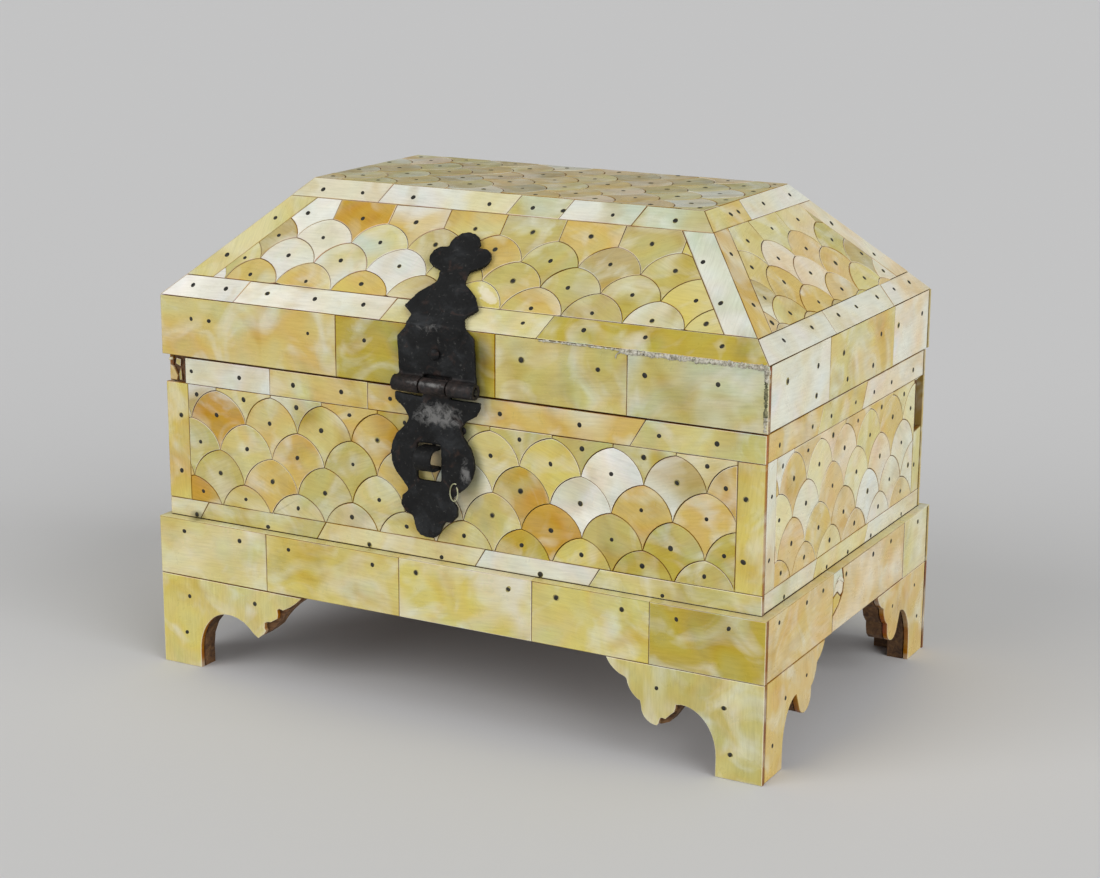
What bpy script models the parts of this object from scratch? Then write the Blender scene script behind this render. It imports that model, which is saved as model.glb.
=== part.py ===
"""Mother of pearl casket: a hollow wooden box on a low plinth and four bracket feet, with a hipped
wooden lid hinged at the back, all overlaid with pinned plates of mother of pearl. The big faces are
fields of fish-scale plates inside a border of straight ones. A black iron hasp hangs over a staple.

Metres, +Z up. The origin is on the ground under the middle of the box, and the front faces -Y."""

import math

import bmesh
import bpy
from mathutils import Matrix, Vector

# The wooden box and lid
lid_width = 0.2000
lid_depth = 0.1250
lid_wall_height = 0.0190
lid_rise = 0.0340
top_width = 0.1302
top_depth = 0.0590
lid_board = 0.0050
body_height = 0.0515
body_board = 0.0060
floor_board = 0.0060
seam = 0.0005
lid_lip = 0.0006

# The plinth and feet
plinth_height = 0.0173
plinth_step = 0.0026
ledge_rise = 0.0010
foot_height = 0.0292
foot_board = 0.0050
foot_reach_front = 0.0484
foot_reach_side = 0.0435
foot_leg = 0.0142
foot_arch_height = 0.0190
foot_drop_tip = 0.0115

# The mother of pearl
plate = 0.0018
bed = 0.0003
joint = 0.0003
groove = 0.00025
relief = 0.0002
body_top_rail = 0.0080
body_bottom_rail = 0.0056
body_stile = 0.0082
slope_top_strip = 0.0073
slope_bottom_strip = 0.0081
slope_hip_strip = 0.0078
scale_pitch = 0.0191
body_scale_step = 0.0092
slope_scale_step = 0.00825
body_first_tip = 0.0013
slope_first_tip = -0.0011
lost_corner_width = 0.0068
lost_corner_height = 0.0078
lost_stile_top = 0.0080
lost_stile_height = 0.0165
scale_point = math.radians(8)
arc_parts = 2

# The iron hasp and its staple
iron = 0.0014
hasp_offset = -0.0010
hasp_barrel_radius = 0.0025
hasp_barrel_length = 0.0273
hasp_axis_above_seam = 0.0022
hasp_width = 0.0255
hasp_slope_reach = 0.0321
hasp_strap_tilt = math.radians(3)
hasp_leaf_length = 0.0455
hasp_leaf_width = 0.0281
hasp_tilt = math.radians(4.5)
slot_width = 0.0079
slot_height = 0.0108
slot_aside = 0.0010
slot_below_staple = 0.0030
staple_height = 0.0072
staple_reach = 0.0068
staple_width = 0.0057
staple_thickness = 0.0012
staple_below_axis = 0.0214
rivet_radius = 0.0019
pin_radius = 0.0009
knuckle_gap = 0.0003

# The two strap hinges at the back
hinge_spread = lid_width * 0.58
hinge_width = 0.0150
hinge_barrel_radius = 0.0022
hinge_barrel_length = 0.0240
hinge_slope_reach = 0.0210
hinge_leaf_length = 0.0300
hinge_stand_off = 0.0004

# Levels and half sizes that follow from them
plinth_level = foot_height
ledge_level = foot_height + plinth_height
body_level = ledge_level + ledge_rise + joint
seam_level = ledge_level + body_height
lid_level = seam_level + seam
wall_top_level = seam_level + lid_wall_height
top_level = wall_top_level + lid_rise
lid_half = Vector((lid_width / 2, lid_depth / 2))
body_half = lid_half - Vector((lid_lip, lid_lip))
plinth_half = body_half + Vector((plinth_step, plinth_step))
top_half = Vector((top_width / 2, top_depth / 2))
clad = plate + bed
corner_set_back = plate + joint
front_pitch = math.atan2(lid_rise, lid_half.y - top_half.y)
side_pitch = math.atan2(lid_rise, lid_half.x - top_half.x)
front_slope = math.hypot(lid_rise, lid_half.y - top_half.y)
side_slope = math.hypot(lid_rise, lid_half.x - top_half.x)
front_normal = Vector((0, -math.sin(front_pitch), math.cos(front_pitch)))
side_normal = Vector((math.sin(side_pitch), 0, math.cos(side_pitch)))
hip_angle = front_normal.angle(side_normal)
hinge_axis_y = lid_half.y + hinge_stand_off + hinge_barrel_radius
hinge_axis_z = seam_level + seam / 2
hasp_axis_y = -lid_half.y - bed - hasp_barrel_radius
hasp_axis_z = seam_level + hasp_axis_above_seam

upright = math.pi / 2
turns = {"front": 0.0, "right": math.pi / 2, "back": math.pi, "left": -math.pi / 2}

finishes = {
    "wood": ((0.12, 0.060, 0.026), 0.75, 0.0),
    "nacre_plate": ((0.62, 0.54, 0.26), 0.30, 0.0),
    "nacre_scale": ((0.60, 0.50, 0.22), 0.30, 0.0),
    "iron": ((0.020, 0.020, 0.022), 0.55, 0.7),
}


def clear_scene():
    for obj in list(bpy.data.objects):
        bpy.data.objects.remove(obj, do_unlink=True)


def new_collection(name):
    made = bpy.data.collections.new(name)
    bpy.context.scene.collection.children.link(made)
    return made


def new_material(name, kind):
    colour, roughness, metallic = finishes[kind]
    made = bpy.data.materials.new(f"{name}_{kind}")
    made.use_nodes = True
    shader = made.node_tree.nodes["Principled BSDF"]
    shader.inputs["Base Color"].default_value = (*colour, 1)
    shader.inputs["Roughness"].default_value = roughness
    shader.inputs["Metallic"].default_value = metallic
    return made


def add_piece(name, bm, kind, holder=None):
    """Makes the object of one piece. A piece that moves has its holder's empty as its parent."""
    bmesh.ops.recalc_face_normals(bm, faces=bm.faces)
    mesh = bpy.data.meshes.new(name)
    bm.to_mesh(mesh)
    bm.free()
    obj = bpy.data.objects.new(name, mesh)
    obj.data.materials.append(new_material(name, kind))
    parts.objects.link(obj)
    if holder:
        obj.parent = holder
        obj.matrix_parent_inverse = Matrix.Translation(-holder.location)
    return obj


def add_axis(name, location):
    empty = bpy.data.objects.new(name, None)
    empty.location = location
    parts.objects.link(empty)
    return empty


def face_frame(turn, reach, level, pitch=upright):
    """Places a flat drawing on a face: its x runs along the face, y up it and z straight out of it."""
    place = Matrix.Translation((0, -reach, level))
    return Matrix.Rotation(turn, 4, "Z") @ place @ Matrix.Rotation(pitch, 4, "X")


def block(low, high):
    """A box between two corners."""
    bm = bmesh.new()
    bmesh.ops.create_cube(bm, size=1)
    size = Vector(high) - Vector(low)
    bmesh.ops.scale(bm, vec=size, verts=bm.verts)
    bmesh.ops.translate(bm, vec=(Vector(low) + Vector(high)) / 2, verts=bm.verts)
    return bm


def cutter(name, bm):
    mesh = bpy.data.meshes.new(name)
    bmesh.ops.recalc_face_normals(bm, faces=bm.faces)
    bm.to_mesh(mesh)
    bm.free()
    obj = bpy.data.objects.new(name, mesh)
    obj.hide_render = True
    obj.display_type = "WIRE"
    cutters.objects.link(obj)
    return obj


def combine(obj, other, operation):
    step = obj.modifiers.new(operation.title(), "BOOLEAN")
    step.operation = operation
    step.solver = "EXACT"
    step.object = other


def arc(centre, radius, start, end, parts_count):
    """Points along an arc, both ends among them. Angles are in degrees from +X."""
    points = []
    for i in range(parts_count + 1):
        angle = math.radians(start + (end - start) * i / parts_count)
        points.append(Vector((centre[0] + radius * math.cos(angle), centre[1] + radius * math.sin(angle))))
    return points


def mirrored(half):
    """A whole outline from its right half, listed from bottom to top."""
    return half + [Vector((-p.x, p.y)) for p in reversed(half) if abs(p.x) > 1e-7]


def cut_out(outline, thickness):
    """A flat board or sheet of metal with this outline, its back on z = 0 and its face at z = thickness."""
    curve = bpy.data.curves.new("outline", "CURVE")
    curve.dimensions = "2D"
    curve.fill_mode = "BOTH"
    curve.extrude = thickness / 2
    spline = curve.splines.new("POLY")
    spline.points.add(len(outline) - 1)
    for point, place in zip(spline.points, outline):
        point.co = (place[0], place[1], 0, 1)
    spline.use_cyclic_u = True
    drawn = bpy.data.objects.new("outline", curve)
    bpy.context.scene.collection.objects.link(drawn)
    graph = bpy.context.evaluated_depsgraph_get()
    mesh = bpy.data.meshes.new_from_object(drawn.evaluated_get(graph))
    bm = bmesh.new()
    bm.from_mesh(mesh)
    bmesh.ops.remove_doubles(bm, verts=bm.verts, dist=1e-6)
    bmesh.ops.translate(bm, vec=(0, 0, thickness / 2), verts=bm.verts)
    bpy.data.objects.remove(drawn)
    bpy.data.meshes.remove(mesh)
    bpy.data.curves.remove(curve)
    return bm


# Outlines of a face are four corners, counter-clockwise from the bottom left
def trapezoid(bottom_half, top_half_width, height):
    return [
        Vector((-bottom_half, 0)),
        Vector((bottom_half, 0)),
        Vector((top_half_width, height)),
        Vector((-top_half_width, height)),
    ]


def inset_outline(outline, bottom, right, top, left):
    """The outline with each edge moved inward by its own amount."""
    lines = []
    for i, amount in enumerate((bottom, right, top, left)):
        along = (outline[(i + 1) % 4] - outline[i]).normalized()
        inward = Vector((-along.y, along.x))
        lines.append((outline[i] + inward * amount, along))
    corners = []
    for i, (point, along) in enumerate(lines):
        other_point, other_along = lines[i - 1]
        gap = other_point - point
        run = gap.cross(other_along) / along.cross(other_along)
        corners.append(point + along * run)
    return corners


def tapered(point, outline, inner, depth):
    """Where a point of the outer outline lies at this share of the way in to the inner outline."""
    low = outline[0].lerp(inner[0], depth)
    high = outline[2].lerp(inner[2], depth)
    up = (point.y - outline[0].y) / (outline[2].y - outline[0].y)
    outer_half = -outline[0].x + (outline[2].x + outline[0].x) * up
    half = -low.x + (high.x + low.x) * up
    return Vector((point.x / outer_half * half, low.y + (high.y - low.y) * up))


def sheet_of(outline):
    bm = bmesh.new()
    bm.faces.new([bm.verts.new((p.x, p.y, 0)) for p in outline])
    return bm


def split(bm, faces, point, along, drop_right=False):
    """Cuts the faces along a line, and can drop what is on its right hand."""
    geometry = set(faces)
    for face in faces:
        geometry.update(face.edges)
        geometry.update(face.verts)
    bmesh.ops.bisect_plane(
        bm,
        geom=list(geometry),
        dist=1e-7,
        plane_co=(point.x, point.y, 0),
        plane_no=(along.y, -along.x, 0),
        clear_outer=drop_right,
    )


def inside(face, outline):
    centre = face.calc_center_median().xy
    for i in range(4):
        edge = outline[(i + 1) % 4] - outline[i]
        if edge.cross(centre - outline[i]) < 0:
            return False
    return True


def joints_along(bm, strip, places, lean=0.0):
    """Cuts a strip into plates at these shares of its length."""
    start = (strip[0] + strip[3]) / 2
    end = (strip[1] + strip[2]) / 2
    for share in places:
        faces = [face for face in bm.faces if inside(face, strip)]
        split(bm, faces, start.lerp(end, share), Vector((lean, 1)).normalized())


def border_sheet(outline, field, bottom_joints, top_joints, lean):
    """The straight plates round a field: a strip below it, one above it, and one at each end."""
    bm = sheet_of(outline)
    level = Vector((1, 0))
    split(bm, bm.faces[:], field[0], level)
    split(bm, bm.faces[:], field[3], level)
    middle = [face for face in bm.faces if field[0].y < face.calc_center_median().y < field[3].y]
    split(bm, middle, field[1], (field[2] - field[1]).normalized())
    middle = [face for face in bm.faces if field[0].y < face.calc_center_median().y < field[3].y]
    split(bm, middle, field[0], (field[3] - field[0]).normalized())
    bmesh.ops.delete(bm, geom=[face for face in bm.faces if inside(face, field)], context="FACES")
    wide = outline[1].x
    bottom = [Vector((-wide, 0)), Vector((wide, 0)), Vector((wide, field[0].y)), Vector((-wide, field[0].y))]
    top = [Vector((-wide, field[3].y)), Vector((wide, field[3].y))]
    top += [Vector((wide, outline[2].y)), Vector((-wide, outline[2].y))]
    joints_along(bm, bottom, bottom_joints, lean)
    joints_along(bm, top, top_joints, -lean)
    return bm


def plate_row_sheet(outline, places):
    """One row of plates side by side."""
    bm = sheet_of(outline)
    joints_along(bm, outline, places)
    return bm


def scale_arch(pitch, step):
    """Half the arch of a scale, from its tip to where it meets its neighbour, as steps aside and down."""
    half = pitch / 2
    sine = math.sin(scale_point)
    cosine = math.cos(scale_point)
    radius = (half**2 + step**2) / (2 * (step * cosine - half * sine))
    centre = Vector((-radius * sine, -radius * cosine))
    first = math.pi / 2 - scale_point
    last = math.atan2(-step - centre.y, half - centre.x)
    points = []
    for i in range(arc_parts + 1):
        angle = first + (last - first) * i / arc_parts
        points.append((centre.x + radius * math.cos(angle), -centre.y - radius * math.sin(angle)))
    return points


def scale_outline(tip, pitch, step):
    """The part of a scale that shows: its own arch above, and the arches of the next row below."""
    arch = scale_arch(pitch, step)
    left_tip = tip + Vector((-pitch / 2, -step))
    right_tip = tip + Vector((pitch / 2, -step))
    points = [tip + Vector((aside, -down)) for aside, down in arch[:-1]]
    points += [right_tip + Vector((-aside, -down)) for aside, down in arch[:-1]]
    points += [left_tip + Vector((aside, -down)) for aside, down in reversed(arch)]
    points += [tip + Vector((-aside, -down)) for aside, down in reversed(arch[1:-1])]
    return points


def scale_sheet(field, step, first_tip, phase):
    """Rows of scales over a field. Every second row is marked, because it stands a hair proud."""
    bm = bmesh.new()
    proud = bm.faces.layers.int.new("proud")
    middle = (field[0].x + field[1].x) / 2 + phase
    bottom = field[0].y
    top = field[3].y - first_tip
    rows = math.ceil((top - bottom) / step) + 1
    wide = max(abs(p.x) for p in field)
    count = math.ceil(wide / scale_pitch) + 1
    for row in range(-1 - math.ceil(max(0, -first_tip) / step), rows):
        shift = scale_pitch / 2 * (row % 2)
        for i in range(-count, count + 1):
            tip = Vector((middle + shift + i * scale_pitch, top - row * step))
            corners = [bm.verts.new((p.x, p.y, 0)) for p in scale_outline(tip, scale_pitch, step)]
            face = bm.faces.new(corners)
            face[proud] = row % 2
    bmesh.ops.remove_doubles(bm, verts=bm.verts, dist=1e-6)
    for i in range(4):
        split(bm, bm.faces[:], field[i], (field[(i + 1) % 4] - field[i]).normalized(), True)
    bmesh.ops.remove_doubles(bm, verts=bm.verts, dist=1e-6)
    return bm


def raise_plates(bm, plates):
    """Stands the plates up from the joints between them, with a narrow bevel all round each."""
    bmesh.ops.inset_individual(bm, faces=plates, thickness=groove, depth=relief, use_even_offset=True)


def thicken(bm, outline, leans, raised, merge_back):
    """Turns a flat sheet of plates into one closed panel. A leaning edge is mitred to its neighbour."""
    fronts = bm.faces[:]
    proud = [face for face in fronts if raised(face)]
    made = bmesh.ops.extrude_face_region(bm, geom=fronts, use_keep_orig=True)["geom"]
    backs = [part for part in made if isinstance(part, bmesh.types.BMFace)]
    back_verts = [part for part in made if isinstance(part, bmesh.types.BMVert)]
    bmesh.ops.translate(bm, vec=(0, 0, -(plate - relief)), verts=back_verts)
    if merge_back:
        bmesh.ops.dissolve_faces(bm, faces=backs, use_verts=True)
    bmesh.ops.recalc_face_normals(bm, faces=bm.faces)
    raise_plates(bm, proud)
    inner = inset_outline(outline, *leans)
    for vert in bm.verts:
        vert.co.z -= relief
        vert.co.xy = tapered(vert.co.xy, outline, inner, -vert.co.z / plate)


def add_border(name, frame, outline, field, leans, joints, holder=None):
    trimmed = inset_outline(outline, *[joint / 2] * 4)
    bm = border_sheet(trimmed, field, joints[0], joints[1], joints[2])
    thicken(bm, outline, leans, lambda face: True, False)
    bmesh.ops.transform(bm, matrix=frame, verts=bm.verts)
    return add_piece(name, bm, "nacre_plate", holder)


def add_scales(name, frame, outline, field, leans, step, first_tip, phase, holder=None):
    bm = scale_sheet(field, step, first_tip, phase)
    proud = bm.faces.layers.int["proud"]
    whole_area = scale_pitch * step
    small = whole_area / 5
    thicken(bm, outline, leans, lambda face: face[proud] == 1 and face.calc_area() > small, True)
    bmesh.ops.transform(bm, matrix=frame, verts=bm.verts)
    return add_piece(name, bm, "nacre_scale", holder)


def add_plate_row(name, frame, outline, leans, places, holder=None):
    bm = plate_row_sheet(inset_outline(outline, 0, 0, joint / 2, 0), places)
    thicken(bm, outline, leans, lambda face: True, False)
    bmesh.ops.transform(bm, matrix=frame, verts=bm.verts)
    return add_piece(name, bm, "nacre_plate", holder)


def knock_off(piece, low, high):
    """Takes away the mother of pearl where a plate is lost, between two corners."""
    combine(piece, cutter(f"{piece.name}_lost", block(low, high)), "DIFFERENCE")


def add_body_face(side, half, reach, set_back, phase, joints):
    """The border and the scales of one upright side of the box."""
    frame = face_frame(turns[side], reach, body_level)
    height = seam_level - body_level
    outline = trapezoid(half - set_back, half - set_back, height)
    stile = body_stile - set_back
    field = inset_outline(outline, body_bottom_rail, stile, body_top_rail, stile)
    scales = inset_outline(field, *[joint] * 4)
    flat = (0, 0, 0, 0)
    border = add_border(f"body_{side}_border", frame, outline, field, flat, joints)
    over = seam_level + plate
    if side == "front":
        edge = -half
        low = (edge - plate, -reach - plate, seam_level - lost_corner_height)
        knock_off(border, low, (edge + lost_corner_width, -reach + clad, over))
    if side == "right":
        low = (reach - clad, half - body_stile + joint, seam_level - lost_stile_top - lost_stile_height)
        knock_off(border, low, (reach + plate, half + plate, seam_level - lost_stile_top))
    add_scales(f"body_{side}_scales", frame, outline, scales, flat, body_scale_step, body_first_tip, phase)


def add_slope(side, pitch, halves, reach, length, phase, joints):
    """The border and the scales of one slope of the lid."""
    frame = face_frame(turns[side], reach, wall_top_level, pitch)
    outline = trapezoid(*halves, length)
    hip = slope_hip_strip
    field = inset_outline(outline, slope_bottom_strip, hip, slope_top_strip, hip)
    scales = inset_outline(field, *[joint] * 4)
    bottom = plate * math.tan((upright - pitch) / 2)
    side_lean = plate * math.tan(hip_angle / 2)
    top = plate * math.tan(pitch / 2)
    leans = (bottom, side_lean, top, side_lean)
    add_border(f"lid_{side}_slope_border", frame, outline, field, leans, joints, lid_axis)
    name = f"lid_{side}_slope_scales"
    add_scales(name, frame, outline, scales, leans, slope_scale_step, slope_first_tip, phase, lid_axis)


def add_pearl():
    """Every plate of mother of pearl but those of the feet."""
    body_joints = {
        "front": ((0.064, 0.282, 0.558, 0.744), (0.194, 0.369, 0.573, 0.808), 0.6),
        "right": ((0.30, 0.64), (0.325, 0.595), 0.5),
        "back": ((0.25, 0.52, 0.76), (0.22, 0.47, 0.75), 0.5),
        "left": ((0.36, 0.70), (0.41, 0.68), 0.5),
    }
    body_phase = {"front": -0.0053, "right": -0.0059, "back": 0.0040, "left": 0.0059}
    wall_joints = {
        "front": (0.318, 0.578, 0.792),
        "right": (0.34, 0.75),
        "back": (0.27, 0.52, 0.78),
        "left": (0.30, 0.66),
    }
    plinth_joints = {
        "front": (0.197, 0.427, 0.648, 0.832),
        "right": (0.373, 0.830),
        "back": (0.21, 0.44, 0.69),
        "left": (0.35, 0.67),
    }
    slope_joints = {
        "front": ((0.142, 0.402, 0.658), (0.305, 0.530, 0.672), 0.35),
        "right": ((0.385, 0.755), (0.435,), 0.3),
        "back": ((0.22, 0.49, 0.74), (0.36, 0.64), 0.35),
        "left": ((0.33, 0.66), (0.52,), 0.3),
    }
    slope_phase = {"front": -0.0038, "right": -0.0015, "back": 0.0030, "left": 0.0015}
    flat = (0, 0, 0, 0)
    for side in turns:
        lengthwise = side in ("front", "back")
        long_axis = 0 if lengthwise else 1
        set_back = 0.0 if lengthwise else corner_set_back
        reach = 1 - long_axis
        pitch = front_pitch if lengthwise else side_pitch
        length = front_slope if lengthwise else side_slope
        half = plinth_half[long_axis] - set_back
        frame = face_frame(turns[side], plinth_half[reach], plinth_level)
        outline = trapezoid(half, half, plinth_height)
        add_plate_row(f"plinth_{side}_plates", frame, outline, flat, plinth_joints[side])
        phase = body_phase[side]
        joints = body_joints[side]
        add_body_face(side, body_half[long_axis], body_half[reach], set_back, phase, joints)
        half = lid_half[long_axis] - set_back
        frame = face_frame(turns[side], lid_half[reach], lid_level)
        outline = trapezoid(half, half, wall_top_level - lid_level)
        leans = (0, 0, plate * math.tan((upright - pitch) / 2), 0)
        add_plate_row(f"lid_{side}_wall_plates", frame, outline, leans, wall_joints[side], lid_axis)
        halves = (lid_half[long_axis], top_half[long_axis])
        reach_out = lid_half[reach]
        add_slope(side, pitch, halves, reach_out, length, slope_phase[side], slope_joints[side])
    frame = face_frame(turns["left"], top_half.x, top_level, 0)
    outline = trapezoid(top_half.y, top_half.y, top_width)
    across = plate * math.tan(front_pitch / 2)
    along = plate * math.tan(side_pitch / 2)
    field = inset_outline(outline, *[joint / 2] * 4)
    leans = (along, across, along, across)
    add_scales("lid_top_scales", frame, outline, field, leans, body_scale_step, body_first_tip, 0, lid_axis)


def add_box():
    """The wooden box, open at the top, and the four strips that widen it into a plinth."""
    outer = body_half - Vector((clad, clad))
    inner = outer - Vector((body_board, body_board))
    bottom = plinth_level
    box = add_piece("box", block((-outer.x, -outer.y, bottom), (*outer, seam_level)), "wood")
    over = seam_level + body_board
    hollow = block((-inner.x, -inner.y, bottom + floor_board), (*inner, over))
    combine(box, cutter("box_hollow", hollow), "DIFFERENCE")
    edge = plinth_half - Vector((clad, clad))
    near = outer + Vector((joint, joint))
    top = ledge_level + ledge_rise
    for side, sign in (("front", -1), ("back", 1)):
        low, high = sorted((sign * near.y, sign * edge.y))
        add_piece(f"plinth_{side}_strip", block((-edge.x, low, bottom), (edge.x, high, top)), "wood")
    for side, sign in (("left", -1), ("right", 1)):
        low, high = sorted((sign * near.x, sign * edge.x))
        reach = near.y - joint
        add_piece(f"plinth_{side}_strip", block((low, -reach, bottom), (high, reach, top)), "wood")


def add_lid():
    """The wooden lid: low walls and four slopes, hollow and open below."""
    bend = clad * math.tan((upright - front_pitch) / 2)
    low = lid_half - Vector((clad, clad))
    high = top_half - Vector((clad * math.tan(side_pitch / 2), clad * math.tan(front_pitch / 2)))
    shoulder = wall_top_level - bend
    bm = block((-low.x, -low.y, lid_level), (low.x, low.y, shoulder))
    bm.faces.ensure_lookup_table()
    floor = min(bm.faces, key=lambda face: face.calc_center_median().z)
    roof = max(bm.faces, key=lambda face: face.calc_center_median().z)
    raised = bmesh.ops.extrude_face_region(bm, geom=[roof])["geom"]
    corners = [part for part in raised if isinstance(part, bmesh.types.BMVert)]
    bmesh.ops.scale(bm, vec=(high.x / low.x, high.y / low.y, 1), verts=corners)
    bmesh.ops.translate(bm, vec=(0, 0, top_level - clad - shoulder), verts=corners)
    bmesh.ops.delete(bm, geom=[floor, roof], context="FACES_ONLY")
    lid = add_piece("lid", bm, "wood", lid_axis)
    shell = lid.modifiers.new("Boards", "SOLIDIFY")
    shell.thickness = lid_board
    shell.offset = -1
    shell.use_even_offset = True


def swell(start, end, depth, parts_count):
    """Points along a shallow lobe that swells down and inward from the line between two points."""
    along = end - start
    across = Vector((along.y, -along.x)) * depth * 4
    steps = [i / parts_count for i in range(parts_count + 1)]
    return [start + along * t + across * t * (1 - t) for t in steps]


def foot_outline(reach, start, hand, broken=False):
    """A bracket foot from its corner inward: the leg, an arch, a hanging drop and two lobes up to the plinth."""
    top = foot_height - joint
    spring = foot_arch_height * 0.3
    arch_half = (reach - foot_leg) * 0.31
    arch_rise = foot_arch_height - spring
    points = [Vector((start, 0)), Vector((foot_leg, 0))]
    for i in range(6):
        angle = math.radians(90 * i / 5)
        aside = foot_leg + arch_half * (1 - math.cos(angle))
        points.append(Vector((aside, spring + arch_rise * math.sin(angle))))
    drop = foot_arch_height - foot_drop_tip
    rest = reach - points[-1].x
    if broken:
        ragged = ((0.16, 0.03), (0.34, 0.39), (0.48, 0.73), (0.59, 0.49), (0.70, 0.21), (0.77, -0.11))
        points += [Vector((reach - rest * (1 - u), foot_arch_height - drop * v)) for u, v in ragged]
        climb = top - foot_arch_height
        ragged = ((0.85, 0.31), (0.97, 0.58), (1.09, 0.79), (1.19, 1.0))
        points += [Vector((reach - rest * (1 - u), foot_arch_height + climb * v)) for u, v in ragged]
    else:
        radius = reach * 0.103
        points += arc((reach - rest * 0.685, foot_drop_tip + radius), radius, 200, 360, 5)
        rise = top - foot_arch_height
        points.append(Vector((reach - rest * 0.458, foot_arch_height - drop * 0.12)))
        notch = Vector((reach - rest * 0.275, foot_arch_height + rise * 0.465))
        points += swell(Vector((reach - rest * 0.44, foot_arch_height - drop * 0.12)), notch, 0.11, 2)
        second = notch + Vector((rest * 0.02, rise * 0.04))
        points += swell(second, Vector((reach, top)), 0.11, 2)
    points.append(Vector((start, top)))
    if hand < 0:
        points = [Vector((-p.x, p.y)) for p in reversed(points)]
    return points


def foot_board_at(side, hand, reach, set_back, depth, thickness, broken):
    """One board of a foot, standing on the plinth's face at this depth, at its left (1) or right (-1) end."""
    lengthwise = side in ("front", "back")
    half = plinth_half.x if lengthwise else plinth_half.y
    out = plinth_half.y if lengthwise else plinth_half.x
    bm = cut_out(foot_outline(reach, set_back, hand, broken), thickness)
    frame = face_frame(turns[side], out, 0)
    shift = Matrix.Translation((-hand * half, 0, -depth - thickness))
    bmesh.ops.transform(bm, matrix=frame @ shift, verts=bm.verts)
    return bm


def add_feet():
    """Four wooden brackets, each with a plate of mother of pearl on both outer sides."""
    corners = {
        "front_left": (("front", 1, foot_reach_front), ("left", -1, foot_reach_side)),
        "front_right": (("front", -1, foot_reach_front), ("right", 1, foot_reach_side)),
        "back_right": (("back", 1, foot_reach_front), ("right", -1, foot_reach_side)),
        "back_left": (("back", -1, foot_reach_front), ("left", 1, foot_reach_side)),
    }
    for corner, boards in corners.items():
        broken = corner == "front_left"
        arms = []
        for side, hand, reach in boards:
            chipped = broken and side == "front"
            lengthwise = side in ("front", "back")
            wood = foot_board_at(side, hand, reach, clad, clad, foot_board, chipped)
            arms.append(wood)
            set_back = 0.0 if lengthwise else corner_set_back
            face = foot_board_at(side, hand, reach, set_back, 0.0, plate, chipped)
            add_piece(f"foot_{corner}_{side}_plate", face, "nacre_plate")
        foot = add_piece(f"foot_{corner}", arms[0], "wood")
        combine(foot, cutter(f"foot_{corner}_arm", arms[1]), "UNION")


def barrel(axis, radius, low, high):
    """A rod along X."""
    bm = bmesh.new()
    turn = Matrix.Rotation(upright, 4, "Y")
    place = Matrix.Translation(((low + high) / 2 + axis.x, axis.y, axis.z)) @ turn
    bmesh.ops.create_cone(
        bm, cap_ends=True, segments=12, radius1=radius, radius2=radius, depth=high - low, matrix=place
    )
    return bm


def knuckle_spans(length, middle):
    """The stretches of a three-part barrel that belong to the leaf with the middle knuckle, or to the other."""
    third = length / 6
    if middle:
        return [(-third + knuckle_gap / 2, third - knuckle_gap / 2)]
    return [(-length / 2, -third - knuckle_gap / 2), (third + knuckle_gap / 2, length / 2)]


def add_knuckles(leaf, axis, radius, spans):
    """Rolls the edge of a leaf round its pin."""
    for i, (low, high) in enumerate(spans):
        rolled = cutter(f"{leaf.name}_knuckle_{i}", barrel(axis, radius, low, high))
        combine(leaf, rolled, "UNION")
    length = max(high for low, high in spans) - min(low for low, high in spans)
    bore = barrel(axis, pin_radius + knuckle_gap, -length, length)
    combine(leaf, cutter(f"{leaf.name}_bore", bore), "DIFFERENCE")


def leaf_root(half_width, clear, spans):
    """The bottom edge of a leaf, right half, from its middle out: tongues reach down to the knuckles it carries."""
    low, high = spans[-1]
    if len(spans) == 1:
        return [Vector((0, 0)), Vector((high, 0)), Vector((high, clear)), Vector((half_width, clear))]
    outer = min(high, half_width)
    return [Vector((0, clear)), Vector((low, clear)), Vector((low, 0)), Vector((outer, 0))]


def turned(points, angle):
    turn = Matrix.Rotation(angle, 2)
    return [turn @ p for p in points]


def finial(half, base, height):
    """The right half of the trefoil that ends a strap: a waist, a side lobe and a round top."""
    waist = half * 0.37
    head = half * 0.41
    points = [Vector((waist, base)), Vector((waist, base + height * 0.22))]
    points += arc((half * 0.50, base + height * 0.49), half * 0.29, -65, 70, 4)
    points.append(Vector((waist, base + height - head * 1.03)))
    points += arc((0, base + height - head), head, 12, 90, 3)
    return points


def strap_outline(half, root, wall, reach, tilt):
    """A leaf that runs up a wall and on over a slope: shoulders at the bend, a spread foot, and a trefoil."""
    right = [
        Vector((half, wall - half * 0.22)),
        Vector((half * 0.76, wall)),
        Vector((half * 0.68, wall + reach * 0.09)),
        Vector((half * 0.95, wall + reach * 0.18)),
        Vector((half * 0.72, wall + reach * 0.33)),
    ]
    right += finial(half, wall + reach * 0.45, reach * 0.55)
    left = [Vector((-p.x, p.y)) for p in reversed(right) if abs(p.x) > 1e-7]
    root = root + [Vector((half, root[-1].y))]
    mirror = [Vector((-p.x, p.y)) for p in reversed(root) if abs(p.x) > 1e-7]
    return root + turned(right + left, tilt) + mirror


def bent_leaf(outline, wall, pitch, place):
    """A sheet of iron with this outline, bent back to the pitch of the lid at the top of its wall."""
    bm = sheet_of(outline)
    split(bm, bm.faces[:], Vector((0, wall)), Vector((1, 0)))
    upper = [vert for vert in bm.verts if vert.co.y > wall + 1e-6]
    bend = Matrix.Rotation(pitch - upright, 3, "X")
    bmesh.ops.rotate(bm, cent=(0, wall, 0), matrix=bend, verts=upper)
    bmesh.ops.transform(bm, matrix=place, verts=bm.verts)
    return bm


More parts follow.
